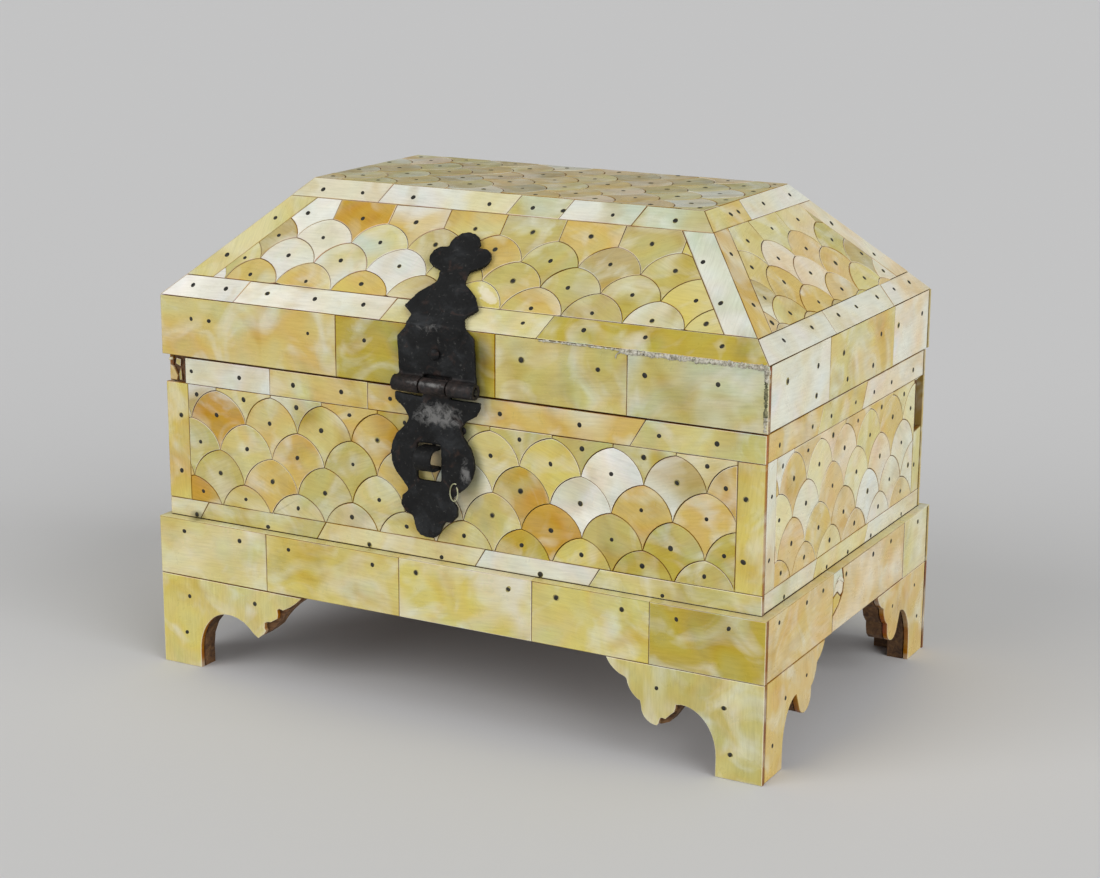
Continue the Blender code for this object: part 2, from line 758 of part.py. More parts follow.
def add_iron_sheet(name, bm, holder=None):
    leaf = add_piece(name, bm, "iron", holder)
    sheet = leaf.modifiers.new("Iron", "SOLIDIFY")
    sheet.thickness = iron
    sheet.offset = 1
    sheet.use_even_offset = True
    return leaf


def lid_strap(name, turn, reach_out, axis, radius, width, spans, slope_reach, tilt=0.0):
    """The leaf of a hinge or hasp that is nailed to the lid."""
    clear = radius + knuckle_gap
    wall = wall_top_level - axis.z + bed * math.tan((upright - front_pitch) / 2)
    outline = strap_outline(width / 2, leaf_root(width / 2, clear, spans), wall, slope_reach, tilt)
    place = face_frame(turn, reach_out + bed, axis.z) @ Matrix.Translation((axis.x * math.cos(turn), 0, 0))
    bm = bent_leaf(outline, wall, front_pitch, place)
    leaf = add_iron_sheet(name, bm, lid_axis)
    if leaf.data.polygons[0].normal.dot(place.to_3x3() @ Vector((0, 0, 1))) < 0:
        leaf.data.flip_normals()
    add_knuckles(leaf, axis, radius, spans)


def hasp_leaf_outline():
    """The hanging leaf: a waist under the barrel, a round middle, a second waist and a trefoil tip."""
    half = hasp_leaf_width / 2
    length = hasp_leaf_length
    clear = hasp_barrel_radius + knuckle_gap
    low, high = knuckle_spans(hasp_barrel_length, True)[0]
    under = -clear - half * math.sin(hasp_tilt)
    right = [
        Vector((high, under)),
        Vector((half * 0.98, under)),
        Vector((half * 0.97, -length * 0.14)),
        Vector((half * 0.72, -length * 0.19)),
        Vector((half * 0.62, -length * 0.24)),
        Vector((half * 0.67, -length * 0.28)),
    ]
    right += arc((half * 0.30, -length * 0.475), half * 0.70, 50, -55, 6)
    right.append(Vector((half * 0.54, -length * 0.70)))
    right += arc((half * 0.42, -length * 0.79), half * 0.27, 65, -60, 3)
    right.append(Vector((half * 0.40, -length * 0.872)))
    right += arc((0, -length * 0.90), half * 0.34, -5, -60, 3)
    right.append(Vector((0, -length)))
    left = [Vector((-p.x, p.y)) for p in reversed(right) if abs(p.x) > 1e-7]
    return [Vector((-high, 0)), Vector((high, 0))] + turned(right + left, -hasp_tilt)


def add_hasp():
    """The hasp: a strap over the front of the lid, a pin, and the slotted leaf that hangs over the staple."""
    axis = Vector((hasp_offset, hasp_axis_y, hasp_axis_z))
    spans = knuckle_spans(hasp_barrel_length, False)
    out = lid_half.y
    radius = hasp_barrel_radius
    tilt = hasp_strap_tilt
    lid_strap("hasp_strap", 0.0, out, axis, radius, hasp_width, spans, hasp_slope_reach, tilt)
    add_piece(
        "hasp_pin",
        barrel(axis, pin_radius, -hasp_barrel_length / 2, hasp_barrel_length / 2),
        "iron",
        lid_axis,
    )
    leaf_back = Matrix.Translation((axis.x, axis.y + hasp_barrel_radius - iron * 0.3, axis.z))
    bm = cut_out(hasp_leaf_outline(), iron)
    bmesh.ops.transform(bm, matrix=leaf_back @ Matrix.Rotation(upright, 4, "X"), verts=bm.verts)
    leaf = add_piece("hasp_leaf", bm, "iron", hasp_axis)
    add_knuckles(leaf, axis, hasp_barrel_radius, knuckle_spans(hasp_barrel_length, True))
    staple_z = axis.z - staple_below_axis
    slot_low = staple_z - staple_height / 2 - slot_below_staple
    slot_x = axis.x - slot_aside - staple_below_axis * math.tan(hasp_tilt)
    slot = block(
        (slot_x - slot_width / 2, axis.y - hasp_barrel_radius, slot_low),
        (slot_x + slot_width / 2, axis.y + 2 * hasp_barrel_radius, slot_low + slot_height),
    )
    combine(leaf, cutter("hasp_slot", slot), "DIFFERENCE")
    add_staple(slot_x, staple_z)
    add_rivet(axis)


def bow(half, reach, count):
    """Two straight legs joined by a half circle bowed towards +Y, from the right leg's foot to the left's."""
    points = [Vector((half, 0))]
    points += arc((0, reach - half), half, 0, 180, count)
    points.append(Vector((-half, 0)))
    return points


def add_staple(x, z):
    """A band of iron bowed out of the front, its two ends against the mother of pearl."""
    half = staple_height / 2
    outer = bow(half, staple_reach, 10)
    inner = bow(half - staple_thickness, staple_reach - staple_thickness, 10)
    bm = cut_out(outer + list(reversed(inner)), staple_width)
    turn = Matrix(((0, 0, 1, 0), (0, -1, 0, 0), (1, 0, 0, 0), (0, 0, 0, 1)))
    place = Matrix.Translation((x - staple_width / 2, -body_half.y - bed, z)) @ turn
    bmesh.ops.transform(bm, matrix=place, verts=bm.verts)
    add_piece("staple", bm, "iron")


def add_rivet(axis):
    """The domed rivet in the middle of the hasp's strap, a profile turned about its shank."""
    bm = bmesh.new()
    profile = [(rivet_radius * math.cos(a), rivet_radius * 0.6 * math.sin(a)) for a in (0.0, 0.5, 1.0)]
    points = [bm.verts.new((0, 0, rivet_radius * 0.6))]
    points += [bm.verts.new((x, 0, z)) for x, z in reversed(profile)]
    points.append(bm.verts.new((0, 0, 0)))
    for first, second in zip(points, points[1:]):
        bm.edges.new((first, second))
    bmesh.ops.spin(
        bm,
        geom=bm.verts[:] + bm.edges[:],
        axis=(0, 0, 1),
        cent=(0, 0, 0),
        angle=2 * math.pi,
        steps=10,
        use_merge=True,
    )
    bmesh.ops.remove_doubles(bm, verts=bm.verts, dist=1e-6)
    level = wall_top_level - lid_wall_height * 0.40 - axis.z
    out = lid_half.y + bed + iron + joint
    aside = -level * math.sin(hasp_strap_tilt)
    place = face_frame(0.0, out, axis.z) @ Matrix.Translation((axis.x + aside, level, 0))
    bmesh.ops.transform(bm, matrix=place, verts=bm.verts)
    add_piece("hasp_rivet", bm, "iron", lid_axis)


def add_back_hinges():
    """Two strap hinges of the same pattern as the hasp, narrower and plainer."""
    for name, sign in (("left", -1), ("right", 1)):
        axis = Vector((sign * hinge_spread / 2, hinge_axis_y, hinge_axis_z))
        radius = hinge_barrel_radius
        spans = knuckle_spans(hinge_barrel_length, True)
        out = lid_half.y
        title = f"hinge_{name}"
        width = hinge_width
        lid_strap(f"{title}_lid_strap", math.pi, out, axis, radius, width, spans, hinge_slope_reach)
        half = hinge_barrel_length / 2
        add_piece(f"{title}_pin", barrel(axis, pin_radius, -half, half), "iron")
        spans = knuckle_spans(hinge_barrel_length, False)
        root = leaf_root(half, radius + knuckle_gap, spans)
        points = root + [Vector((half, radius + knuckle_gap + width * 0.25))]
        points.append(Vector((width * 0.36, hinge_leaf_length * 0.36)))
        points += finial(width / 2, hinge_leaf_length * 0.45, hinge_leaf_length * 0.55)
        outline = [Vector((p.x, -p.y)) for p in reversed(mirrored(points))]
        bm = cut_out(outline, iron)
        frame = face_frame(math.pi, body_half.y + bed, axis.z)
        bmesh.ops.transform(bm, matrix=frame @ Matrix.Translation((-axis.x, 0, 0)), verts=bm.verts)
        leaf = add_piece(f"{title}_body_strap", bm, "iron")
        add_knuckles(leaf, axis, radius, spans)


clear_scene()
parts = new_collection("mother_of_pearl_casket")
cutters = new_collection("cutters")
cutters.hide_render = True
lid_axis = add_axis("lid_axis", (0, hinge_axis_y, hinge_axis_z))
hasp_axis = add_axis("hasp_axis", (hasp_offset, hasp_axis_y, hasp_axis_z))
hasp_axis.parent = lid_axis
hasp_axis.matrix_parent_inverse = Matrix.Translation(-lid_axis.location)
add_box()
add_lid()
add_feet()
add_pearl()
add_hasp()
add_back_hinges()
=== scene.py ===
"""Mother of pearl casket: the looks. Every plate is its own piece of shell with its own tint and grain,
pinned to the dark wood of the box. The iron is forged, worn and pitted."""

import math
import random

import bmesh
import bpy
from mathutils import Matrix, Vector, noise


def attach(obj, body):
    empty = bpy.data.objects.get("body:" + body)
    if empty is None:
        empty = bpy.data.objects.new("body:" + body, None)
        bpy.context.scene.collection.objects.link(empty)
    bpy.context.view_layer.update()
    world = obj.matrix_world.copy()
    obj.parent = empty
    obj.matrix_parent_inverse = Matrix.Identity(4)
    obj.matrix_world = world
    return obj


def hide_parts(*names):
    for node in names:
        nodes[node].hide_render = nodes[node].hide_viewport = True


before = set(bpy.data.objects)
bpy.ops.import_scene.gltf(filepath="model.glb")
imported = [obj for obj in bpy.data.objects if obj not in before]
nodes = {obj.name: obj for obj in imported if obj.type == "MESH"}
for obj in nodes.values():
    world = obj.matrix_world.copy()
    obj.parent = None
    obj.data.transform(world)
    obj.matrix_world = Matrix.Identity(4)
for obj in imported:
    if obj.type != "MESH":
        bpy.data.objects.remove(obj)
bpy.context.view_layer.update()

# Sizes of the casket, in metres
lid_half = Vector((0.1000, 0.0625))
body_half = Vector((0.0994, 0.0619))
plinth_half = Vector((0.1020, 0.0645))
top_half = Vector((0.0651, 0.0295))
plinth_level = 0.0292
plinth_top = 0.0182
body_level = 0.0478
seam_level = 0.0980
lid_level = 0.0985
wall_top_level = 0.1170
top_level = 0.1510
plate = 0.0018
corner_set_back = 0.0021
body_rails = (0.0056, 0.0080)
body_stile = 0.0082
slope_rails = (0.0081, 0.0073)
slope_hip_strip = 0.0078
scale_pitch = 0.0191
body_step = 0.0092
slope_step = 0.00825
upright = math.pi / 2
front_pitch = math.atan2(top_level - wall_top_level, lid_half.y - top_half.y)
side_pitch = math.atan2(top_level - wall_top_level, lid_half.x - top_half.x)
front_slope = math.hypot(top_level - wall_top_level, lid_half.y - top_half.y)
side_slope = math.hypot(top_level - wall_top_level, lid_half.x - top_half.x)
turns = {"front": 0.0, "right": math.pi / 2, "back": math.pi, "left": -math.pi / 2}
mm = 0.001

# Half the gap between two plates where it is tight, what an open one adds, and the side where gaps open
tight_gap = 0.00004
open_gap = 0.00017
open_side = Vector((-0.78, 0.62))

# The worn edge of a plate, how deep it lies at least, what chance adds to that, and how much it tilts
arris = 0.00007
wear = 0.00024
least_lie = 0.00006
added_lie = 0.00007
tilt = 0.00009

# The pins' size, their least way from a plate's edge, and the least area of a scale made and of one pinned
pin_radius = 0.00074
pin_clearance = 0.0013
least_scale = 1.2e-6
least_pinned = 2.2e-5
plinth_pin_level = 0.0144

# Where a scale's pin sits, in steps below its tip, and how many of the scales are clouded with a second tint
pin_drop = 0.80
clouded_share = 0.55

# How far apart pins are where no others are known, and up to which length a plate has only one
pin_spacing = 0.022
one_pin_length = 0.012

# The tints that this shell has
tints = {
    "white": (242, 240, 230),
    "pearl": (222, 222, 210),
    "milk": (220, 216, 192),
    "cream": (220, 212, 168),
    "straw": (210, 200, 140),
    "yellow": (212, 198, 118),
    "honey": (209, 184, 116),
    "amber": (196, 158, 82),
    "olive": (186, 170, 88),
    "khaki": (194, 184, 120),
    "sea": (200, 208, 184),
    "rose": (224, 208, 178),
    "tan": (212, 188, 136),
    "dusk": (186, 172, 124),
}
edge_brown = (150, 116, 52)
side_amber = (184, 124, 40)
deep_brown = (104, 66, 26)
mixes = {
    "body": "cream milk straw straw straw khaki khaki honey honey yellow olive dusk amber pearl",
    "side": "rose rose milk tan tan cream cream straw pearl honey tan milk",
    "slope": "milk cream straw straw khaki khaki honey honey yellow dusk pearl",
    "side_slope": "rose milk tan tan honey dusk straw honey khaki",
    "top": "dusk khaki tan straw rose milk dusk honey",
}


def linear(colour):
    made = []
    for value in colour:
        share = value / 255
        made.append(share / 12.92 if share <= 0.04045 else ((share + 0.055) / 1.055) ** 2.4)
    return Vector(made)


def pair_of(names):
    """The two tints that cloud a plate, told by their names. One name stands for both."""
    both = names.split()
    return tints[both[0]], tints[both[-1]]


def face_frame(turn, reach, level, pitch=upright):
    """Places a flat drawing on a face: its x runs along the face, y up it and z straight out of it."""
    place = Matrix.Translation((0, -reach, level))
    return Matrix.Rotation(turn, 4, "Z") @ place @ Matrix.Rotation(pitch, 4, "X")


# Drawing in the flat
def steps(first, last, count):
    """Evenly spaced values from the first to the last."""
    return [first + (last - first) * i / (count - 1) for i in range(count)]


def in_mm(places):
    """Corners or places in the flat that are told in millimetres."""
    return [Vector((x * mm, y * mm)) for x, y in places]


def trapezoid(bottom, top, height):
    return [Vector((-bottom, 0)), Vector((bottom, 0)), Vector((top, height)), Vector((-top, height))]


def inset_outline(outline, bottom, right, top, left):
    """The outline of four sides with each edge moved inward by its own amount."""
    lines = []
    for i, amount in enumerate((bottom, right, top, left)):
        along = (outline[(i + 1) % 4] - outline[i]).normalized()
        lines.append((outline[i] + Vector((-along.y, along.x)) * amount, along))
    corners = []
    for i, (point, along) in enumerate(lines):
        other_point, other_along = lines[i - 1]
        run = (other_point - point).cross(other_along) / along.cross(other_along)
        corners.append(point + along * run)
    return corners


def area(points):
    return sum(a.cross(b) for a, b in zip(points, points[1:] + points[:1])) / 2


def middle(points):
    """The centre of area of an outline."""
    total = area(points)
    centre = Vector((0, 0))
    for a, b in zip(points, points[1:] + points[:1]):
        centre += (a + b) * a.cross(b)
    return centre / (6 * total)


def holds(points, spot):
    """Whether a spot lies inside an outline."""
    found = False
    for a, b in zip(points, points[1:] + points[:1]):
        if (a.y > spot.y) != (b.y > spot.y):
            if spot.x < a.x + (spot.y - a.y) * (b.x - a.x) / (b.y - a.y):
                found = not found
    return found


def clip(points, spot, along):
    """The part of an outline that lies on the left hand of a line."""
    kept = []
    for i, point in enumerate(points):
        before = points[i - 1]
        side = along.cross(point - spot)
        side_before = along.cross(before - spot)
        if (side >= 0) != (side_before >= 0):
            kept.append(before.lerp(point, side_before / (side_before - side)))
        if side >= 0:
            kept.append(point)
    return tidy(kept)


def tidy(points):
    """The outline without points that lie on top of each other."""
    return [p for i, p in enumerate(points) if (p - points[i - 1]).length > 2e-5]


def inward_of(points):
    """The direction from each corner into the outline, as long as a step of 1 from both its edges needs."""
    found = []
    for i, point in enumerate(points):
        before = (point - points[i - 1]).normalized()
        after = (points[(i + 1) % len(points)] - point).normalized()
        inward = Vector((-before.y - after.y, before.x + after.x))
        span = max(inward.length, 0.8)
        found.append(inward * 2 / span**2)
    return found


def shrunk(points, amount):
    """The outline drawn in by an amount all round."""
    return [point + inward * amount for point, inward in zip(points, inward_of(points))]


def tapered(point, outline, inner, depth):
    """Where a point of the outer outline lies at this share of the way in to the inner outline."""
    low = outline[0].lerp(inner[0], depth)
    high = outline[2].lerp(inner[2], depth)
    up = (point.y - outline[0].y) / (outline[2].y - outline[0].y)
    outer_half = -outline[0].x + (outline[2].x + outline[0].x) * up
    half = -low.x + (high.x + low.x) * up
    return Vector((point.x / outer_half * half, low.y + (high.y - low.y) * up))


def quarter_shape(parts):
    """Half the arch of a scale as shares aside and down, from its tip to its foot."""
    half, down = scale_pitch / 2, body_step
    lean = math.radians(8)
    sine, cosine = math.sin(lean), math.cos(lean)
    radius = (half**2 + down**2) / (2 * (down * cosine - half * sine))
    centre = Vector((-radius * sine, -radius * cosine))
    first = math.pi / 2 - lean
    last = math.atan2(-down - centre.y, half - centre.x)
    shape = []
    for angle in steps(first, last, parts + 1):
        aside = centre.x + radius * math.cos(angle)
        shape.append((aside / half, -(centre.y + radius * math.sin(angle)) / down))
    return shape


quarter = quarter_shape(8)


def arch(tip, foot):
    return [Vector((tip.x + (foot.x - tip.x) * a, tip.y + (foot.y - tip.y) * d)) for a, d in quarter]


def scale_cells(field, step, first_tip, phase, rng):
    """The outline of every scale in a field, with its row, its column and the place of its tip."""
    top = field[3].y - first_tip
    rows = math.ceil((top - field[0].y) / step) + 1
    first = 0 if first_tip < 0 else -1
    high = field[3].y + step
    count = math.ceil(max(abs(p.x) for p in field) / scale_pitch) + 2
    tips = {}
    for row in range(first, rows + 3):
        for i in range(-count, count + 2):
            x = phase + (i + 0.5 * (row % 2)) * scale_pitch + rng.uniform(-0.6, 0.6) * mm
            tips[row, i] = Vector((x, top - row * step + rng.uniform(-0.45, 0.45) * mm))
    cells = []
    for row in range(first, rows + 1):
        for i in range(-count + 1, count):
            tip, foot = tips[row, i], tips[row + 2, i]
            left = tips[row + 1, i if row % 2 else i - 1]
            right = tips[row + 1, i + 1 if row % 2 else i]
            points = arch(left, foot)[:-1] + arch(right, foot)[:0:-1] + [right]
            if row == first:
                points += [Vector((right.x, high)), Vector((left.x, high))]
            else:
                points += arch(tip, right)[-2:0:-1] + arch(tip, left)[:-1]
            for k in range(4):
                edge = field[(k + 1) % 4] - field[k]
                if points:
                    points = clip(points, field[k], edge)
            if len(points) > 2 and area(points) > least_scale:
                cells.append((points, row, i, tip))
    return cells


def cut_row(strip, joints):
    """A strip cut into plates at these places, each (x, lean)."""
    marks = sorted(joints)
    level = (strip[0].y + strip[2].y) / 2
    pieces = []
    for i in range(len(marks) + 1):
        piece = strip
        if i:
            x, lean = marks[i - 1]
            piece = clip(piece, Vector((x, level)), Vector((-lean, -1)))
        if i < len(marks):
            x, lean = marks[i]
            piece = clip(piece, Vector((x, level)), Vector((lean, 1)))
        pieces.append(piece)
    return pieces


class Skin:
    """The shell plates of one face, which become one piece."""

    def __init__(self, name, body, place, outline, leans, seed):
        self.name = name
        self.body = body
        self.place = place
        self.outline = outline
        self.inner = inset_outline(outline, *leans) if leans else None
        self.seed = seed
        self.rng = random.Random(seed)
        self.bm = bmesh.new()
        self.tint = self.bm.verts.layers.float_color.new("tint")
        self.second = self.bm.verts.layers.float_color.new("second_tint")
        self.grain = self.bm.loops.layers.uv.new("grain")
        self.pins = []

    def add_plate(self, points, tint, second, turned=None, thickness=plate, sunk=0.0):
        """One plate of shell: a flat face with a worn arris, straight sides and a back. The arris is brown
        with wear, and on some plates pale as a painted highlight.
        """
        rng = self.rng
        centre = middle(points)
        reach = max((p - centre).length for p in points)
        lean = Vector((rng.uniform(-0.7, 0.7), rng.uniform(-0.7, 0.7))) * tilt / reach
        lie = least_lie + lean.length * reach + added_lie * rng.random()
        # The share of brown wear on the arris; above 0.6 the arris is a pale painted highlight instead
        worn = rng.uniform(0.25, 0.8)
        edge = linear(edge_brown).lerp(linear(tint), worn)
        # Painted highlight: a pale rim on about a third of the plates
        if worn > 0.60:
            edge = linear(tint).lerp(linear(tints["white"]), 0.55)
        side = linear(side_amber).lerp(linear(deep_brown), rng.uniform(0, 0.7))
        if "back" in self.name and not self.name.startswith("foot"):
            side = side.lerp(linear(tint), 0.75)
        inward = inward_of(points)
        gaps = [self.gap_at(point, toward) for point, toward in zip(points, inward)]
        rings = [
            (0, thickness - 0.0001, side.lerp(linear(deep_brown), 0.5)),
            (0, sunk + 0.00030, side),
            (arris, sunk + 0.00006, edge),
            (wear, sunk, linear(tint)),
        ]
        made = []
        for amount, depth, colour in rings:
            ring = []
            for point, toward, part in zip(points, inward, gaps):
                moved = point + toward * (part + amount)
                low = depth + lie - lean.dot(point - centre) if depth < sunk + 0.001 else depth
                if self.inner:
                    moved = tapered(moved, self.outline, self.inner, low / plate)
                vert = self.bm.verts.new((moved.x, moved.y, -max(low, 0.00002)))
                vert[self.tint] = (*colour, 1)
                vert[self.second] = (*(linear(second) if amount == wear else colour), 1)
                ring.append(vert)
            made.append(ring)
        self.bm.faces.new(list(reversed(made[0])))
        self.bm.faces.new(made[3])
        for lower, upper in zip(made, made[1:]):
            for i in range(len(lower)):
                self.bm.faces.new((lower[i - 1], lower[i], upper[i], upper[i - 1]))
        self.lay_grain(sum(made, []), centre, turned)

    def gap_at(self, point, inward):
        """Half the gap beside a corner of a plate: widest on its upper left, and never even."""
        away = max(0.0, -inward.normalized().dot(open_side)) if inward.length else 0
        waver = 0.5 + 0.8 * noise.noise(Vector((point.x * 160, point.y * 160, self.seed)))
        return tight_gap + open_gap * away**2 * max(0.0, waver)

    def lay_grain(self, verts, centre, turned=None):
        """Lays the shell's grain on these points, turned by chance and cut from anywhere in the shell."""
        angle = self.rng.uniform(-0.5, 0.5) if turned is None else turned
        shift = Vector((self.rng.uniform(0, 60), self.rng.uniform(0, 60)))
        turn = Matrix.Rotation(angle, 2)
        for face in {face for vert in verts for face in vert.link_faces}:
            for loop in face.loops:
                loop[self.grain].uv = turn @ (loop.vert.co.xy - centre) / 0.01 + shift

    def add_ledge(self, low, high, foot, half, tint, second):
        """The worn top edge of a plinth plate, its tint lightened towards cream: partly the worn edge's paler
        shell, partly a painted highlight. It rises to the side of the box, mitred at the corners.
        """
        profile = ((0, 0.00008), (0.00018, 0.0005), (0.00030, 0.0021), (0.00033, 0.00255), (0, 0.00255))
        ends = []
        for x in (low, high):
            at_corner = half - abs(x) < 0.0023
            ring = []
            for rise, depth in profile:
                along = math.copysign(half - depth, x) if at_corner else x
                vert = self.bm.verts.new((along, foot + rise, -depth))
                # Lightened towards cream: partly paler worn shell, partly a painted highlight
                vert[self.tint] = (*linear(tint).lerp(linear(tints["cream"]), 0.4), 1)
                vert[self.second] = (*linear(second).lerp(linear(tints["cream"]), 0.4), 1)
                ring.append(vert)
            ends.append(ring)
        left, right = ends
        self.bm.faces.new(left)
        self.bm.faces.new(list(reversed(right)))
        for i in range(len(left)):
            self.bm.faces.new((left[i], left[i - 1], right[i - 1], right[i]))
        self.lay_grain(left + right, Vector((low, foot)), 0.0)

    def add_pin(self, x, y):
        """A pin, told by its place on the face."""
        outward = self.place.to_3x3() @ Vector((0, 0, 1))
        self.pins.append((self.place @ Vector((x, y, -0.00017)), outward))

    def add_row(self, strip, joints, colours, pins, lost=()):
        """A row of straight plates, from left to right, and the pins along it."""
        pieces = cut_row(strip, joints)
        for i, piece in enumerate(pieces):
            if i in lost:
                continue
            pair = pair_of(colours[i % len(colours)])
            long_way = 0.0 if strip[1].x - strip[0].x > strip[3].y - strip[0].y else upright
            self.add_plate(piece, *pair, long_way + self.rng.uniform(-0.1, 0.1))
        level = (strip[0].y + strip[3].y) / 2
        for x, y in pins or rule_pins(pieces, level, self.rng):
            self.add_pin(x, y)

    def add_scales(self, field, step, first_tip, phase, mix, accents=None):
        """A field of scales, each with its pin under the middle of its arch."""
        names = mixes[mix].split()
        for points, row, i, tip in scale_cells(field, step, first_tip, phase, self.rng):
            tint = self.rng.choice(names)
            second = self.rng.choice(names) if self.rng.random() < clouded_share else tint
            pair = tints[tint], tints[second]
            if accents and (row, i) in accents:
                pair = pair_of(accents[row, i])
            self.add_plate(points, *pair)
            aside = self.rng.uniform(-0.7, 0.7) * mm
            up = self.rng.uniform(-0.6, 0.6) * mm
            spot = tip + Vector((aside, up - step * pin_drop))
            if not holds(shrunk(points, pin_clearance), spot):
                spot = middle(points)
            if self.name == "lid_front_slope_shell":
                for near, shift in finial_pins:
                    if (spot - near).length < 0.0015:
                        spot = spot + shift
            if area(points) > least_pinned:
                self.add_pin(*spot)

    def finish(self, replaced):
        """Turns the face's plates into its piece."""
        bm = self.bm
        bmesh.ops.transform(bm, matrix=self.place, verts=bm.verts)
        mesh = mesh_of(bm, self.name)
        piece = put_in_scene(self.name, mesh)
        mesh.materials.append(shell)
        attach(piece, self.body)
        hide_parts(*replaced)
        pin_places[self.body].extend(self.pins)


def rule_pins(pieces, level, rng):
    """Pins where no others are known: a few millimetres in from the ends of each plate."""
    places = []
    for piece in pieces:
        low = min(p.x for p in piece)
        high = max(p.x for p in piece)
        count = max(2, round((high - low) / pin_spacing))
        if high - low < one_pin_length:
            count = 1
        for k in range(count):
            x = low + (high - low) * (k + 0.5) / count + rng.uniform(-1.5, 1.5) * mm
            places.append((x, level + rng.uniform(-0.8, 0.8) * mm))
    return places


def spots(level, *xs):
    """Pins of a row, in millimetres along it."""
    return [(x * mm, level * mm) for x in xs]


def cuts(lean, *xs):
    """Joints of a row, in millimetres along it, all leaning alike."""
    return [(x * mm, lean) for x in xs]


pin_places = {"base": [], "lid": []}


# From drawn shapes to things in the scene
def mesh_of(bm, name):
    mesh = bpy.data.meshes.new(name)
    bm.to_mesh(mesh)
    bm.free()
    return mesh


def put_in_scene(name, data):
    made = bpy.data.objects.new(name, data)
    bpy.context.scene.collection.objects.link(made)
    return made


def made_real(drawn):
    """The mesh of an object with its modifiers carried out."""
    graph = bpy.context.evaluated_depsgraph_get()
    return bpy.data.meshes.new_from_object(drawn.evaluated_get(graph))


def add_prism(bm, near, far):
    """A closed prism between two outlines, each told by its corners in space."""
    near = [bm.verts.new(corner) for corner in near]
    far = [bm.verts.new(corner) for corner in far]
    bm.faces.new(near)
    bm.faces.new(list(reversed(far)))
    for i in range(len(near)):
        bm.faces.new((near[i], near[i - 1], far[i - 1], far[i]))


# Finishes
def new_finish(name, roughness, metallic=0.0):
    made = bpy.data.materials.new(name)
    made.use_nodes = True
    tree = made.node_tree
    shader = tree.nodes["Principled BSDF"]
    shader.inputs["Roughness"].default_value = roughness
    shader.inputs["Metallic"].default_value = metallic
    return made, tree, shader


def add_node(tree, kind, links=None, **settings):
    """A node with its settings, and its inputs either linked to an output or set to a value."""
    node = tree.nodes.new(kind)
    for name, value in settings.items():
        setattr(node, name, value)
    for name, value in (links or {}).items():
        if isinstance(value, bpy.types.NodeSocket):
            tree.links.new(value, node.inputs[name])
        else:
            node.inputs[name].default_value = value
    return node


def blend_of(tree, share, first, second, mode="MIX"):
    node = add_node(tree, "ShaderNodeMix", data_type="RGBA", blend_type=mode)
    for socket, value in ((node.inputs[0], share), (node.inputs[6], first), (node.inputs[7], second)):
        if isinstance(value, bpy.types.NodeSocket):
            tree.links.new(value, socket)
        else:
            socket.default_value = value
    return node.outputs[2]


def ramp_of(tree, source, stops):
    node = add_node(tree, "ShaderNodeValToRGB", {"Fac": source})
    ramp = node.color_ramp
    while len(ramp.elements) < len(stops):
        ramp.elements.new(0.5)
    for element, (place, colour) in zip(ramp.elements, stops):
        element.position = place
        element.color = colour
    return node.outputs["Color"]


def math_of(tree, operation, first, second=0.0):
    return add_node(tree, "ShaderNodeMath", {0: first, 1: second}, operation=operation).outputs[0]


def vector_math(tree, operation, first, second=(0, 0, 0)):
    """A sum of vectors. Its outputs are a vector and a value."""
    return add_node(tree, "ShaderNodeVectorMath", {0: first, 1: second}, operation=operation).outputs


def grey(value):
    return (value, value, value, 1)


def paint(*values):
    return (*linear(values), 1)


def noise_of(tree, vector, scale, detail=2.0, distortion=0.0, roughness=0.5):
    values = {"Vector": vector, "Scale": scale, "Detail": detail, "Distortion": distortion}
    return add_node(tree, "ShaderNodeTexNoise", {**values, "Roughness": roughness}).outputs["Fac"]


def add_bump(tree, shader, strength, distance, height):
    bump = add_node(tree, "ShaderNodeBump", {"Strength": strength, "Distance": distance, "Height": height})
    tree.links.new(bump.outputs[0], shader.inputs["Normal"])
    return bump


# Darkened places on the shell round the hasp, partly iron stain and partly painted shade beside and under the
# strap and barrel: centre, radii and depth of each
hasp_stains_and_shade = [
    ((0.0118, -0.0625, 0.1075), (0.0055, 0.0040, 0.0110), 0.75),
    ((0.0085, -0.0620, 0.0735), (0.0055, 0.0040, 0.0120), 0.6),
    ((-0.0010, -0.0620, 0.0985), (0.0180, 0.0040, 0.0050), 0.8),
    ((0.0060, -0.0620, 0.0875), (0.0042, 0.0040, 0.0040), 0.7),
    ((-0.0890, -0.0620, 0.0485), (0.0035, 0.0040, 0.0020), 0.6),
]


# A pale flake of shell beside the strap's neck: its middle on the slope, its length and width
flake_middle = Vector((0.0098, 0.0120, 0))
flake_along = Vector((0.835, -0.550, 0))
flake_half_size = (0.0062, 0.0023)


def flake_share(tree, places):
    """How far out from the middle of the flake a place lies. At its ragged edge this is about 1."""
    slope = face_frame(0.0, lid_half.y, wall_top_level, front_pitch)
    turned = slope.to_3x3()
    away = vector_math(tree, "SUBTRACT", places, slope @ flake_middle)["Vector"]
    lines = (flake_along, flake_along.cross((0, 0, 1)))
    shares = {}
    for socket, (half, line) in enumerate(zip(flake_half_size, lines)):
        shares[socket] = vector_math(tree, "DOT_PRODUCT", away, turned @ line / half)["Value"]
    out = add_node(tree, "ShaderNodeCombineXYZ", shares).outputs[0]
    out = vector_math(tree, "LENGTH", out)["Value"]
    ragged = math_of(tree, "ADD", noise_of(tree, places, 700.0, 3.0), -0.25)
    return math_of(tree, "ADD", out, ragged)


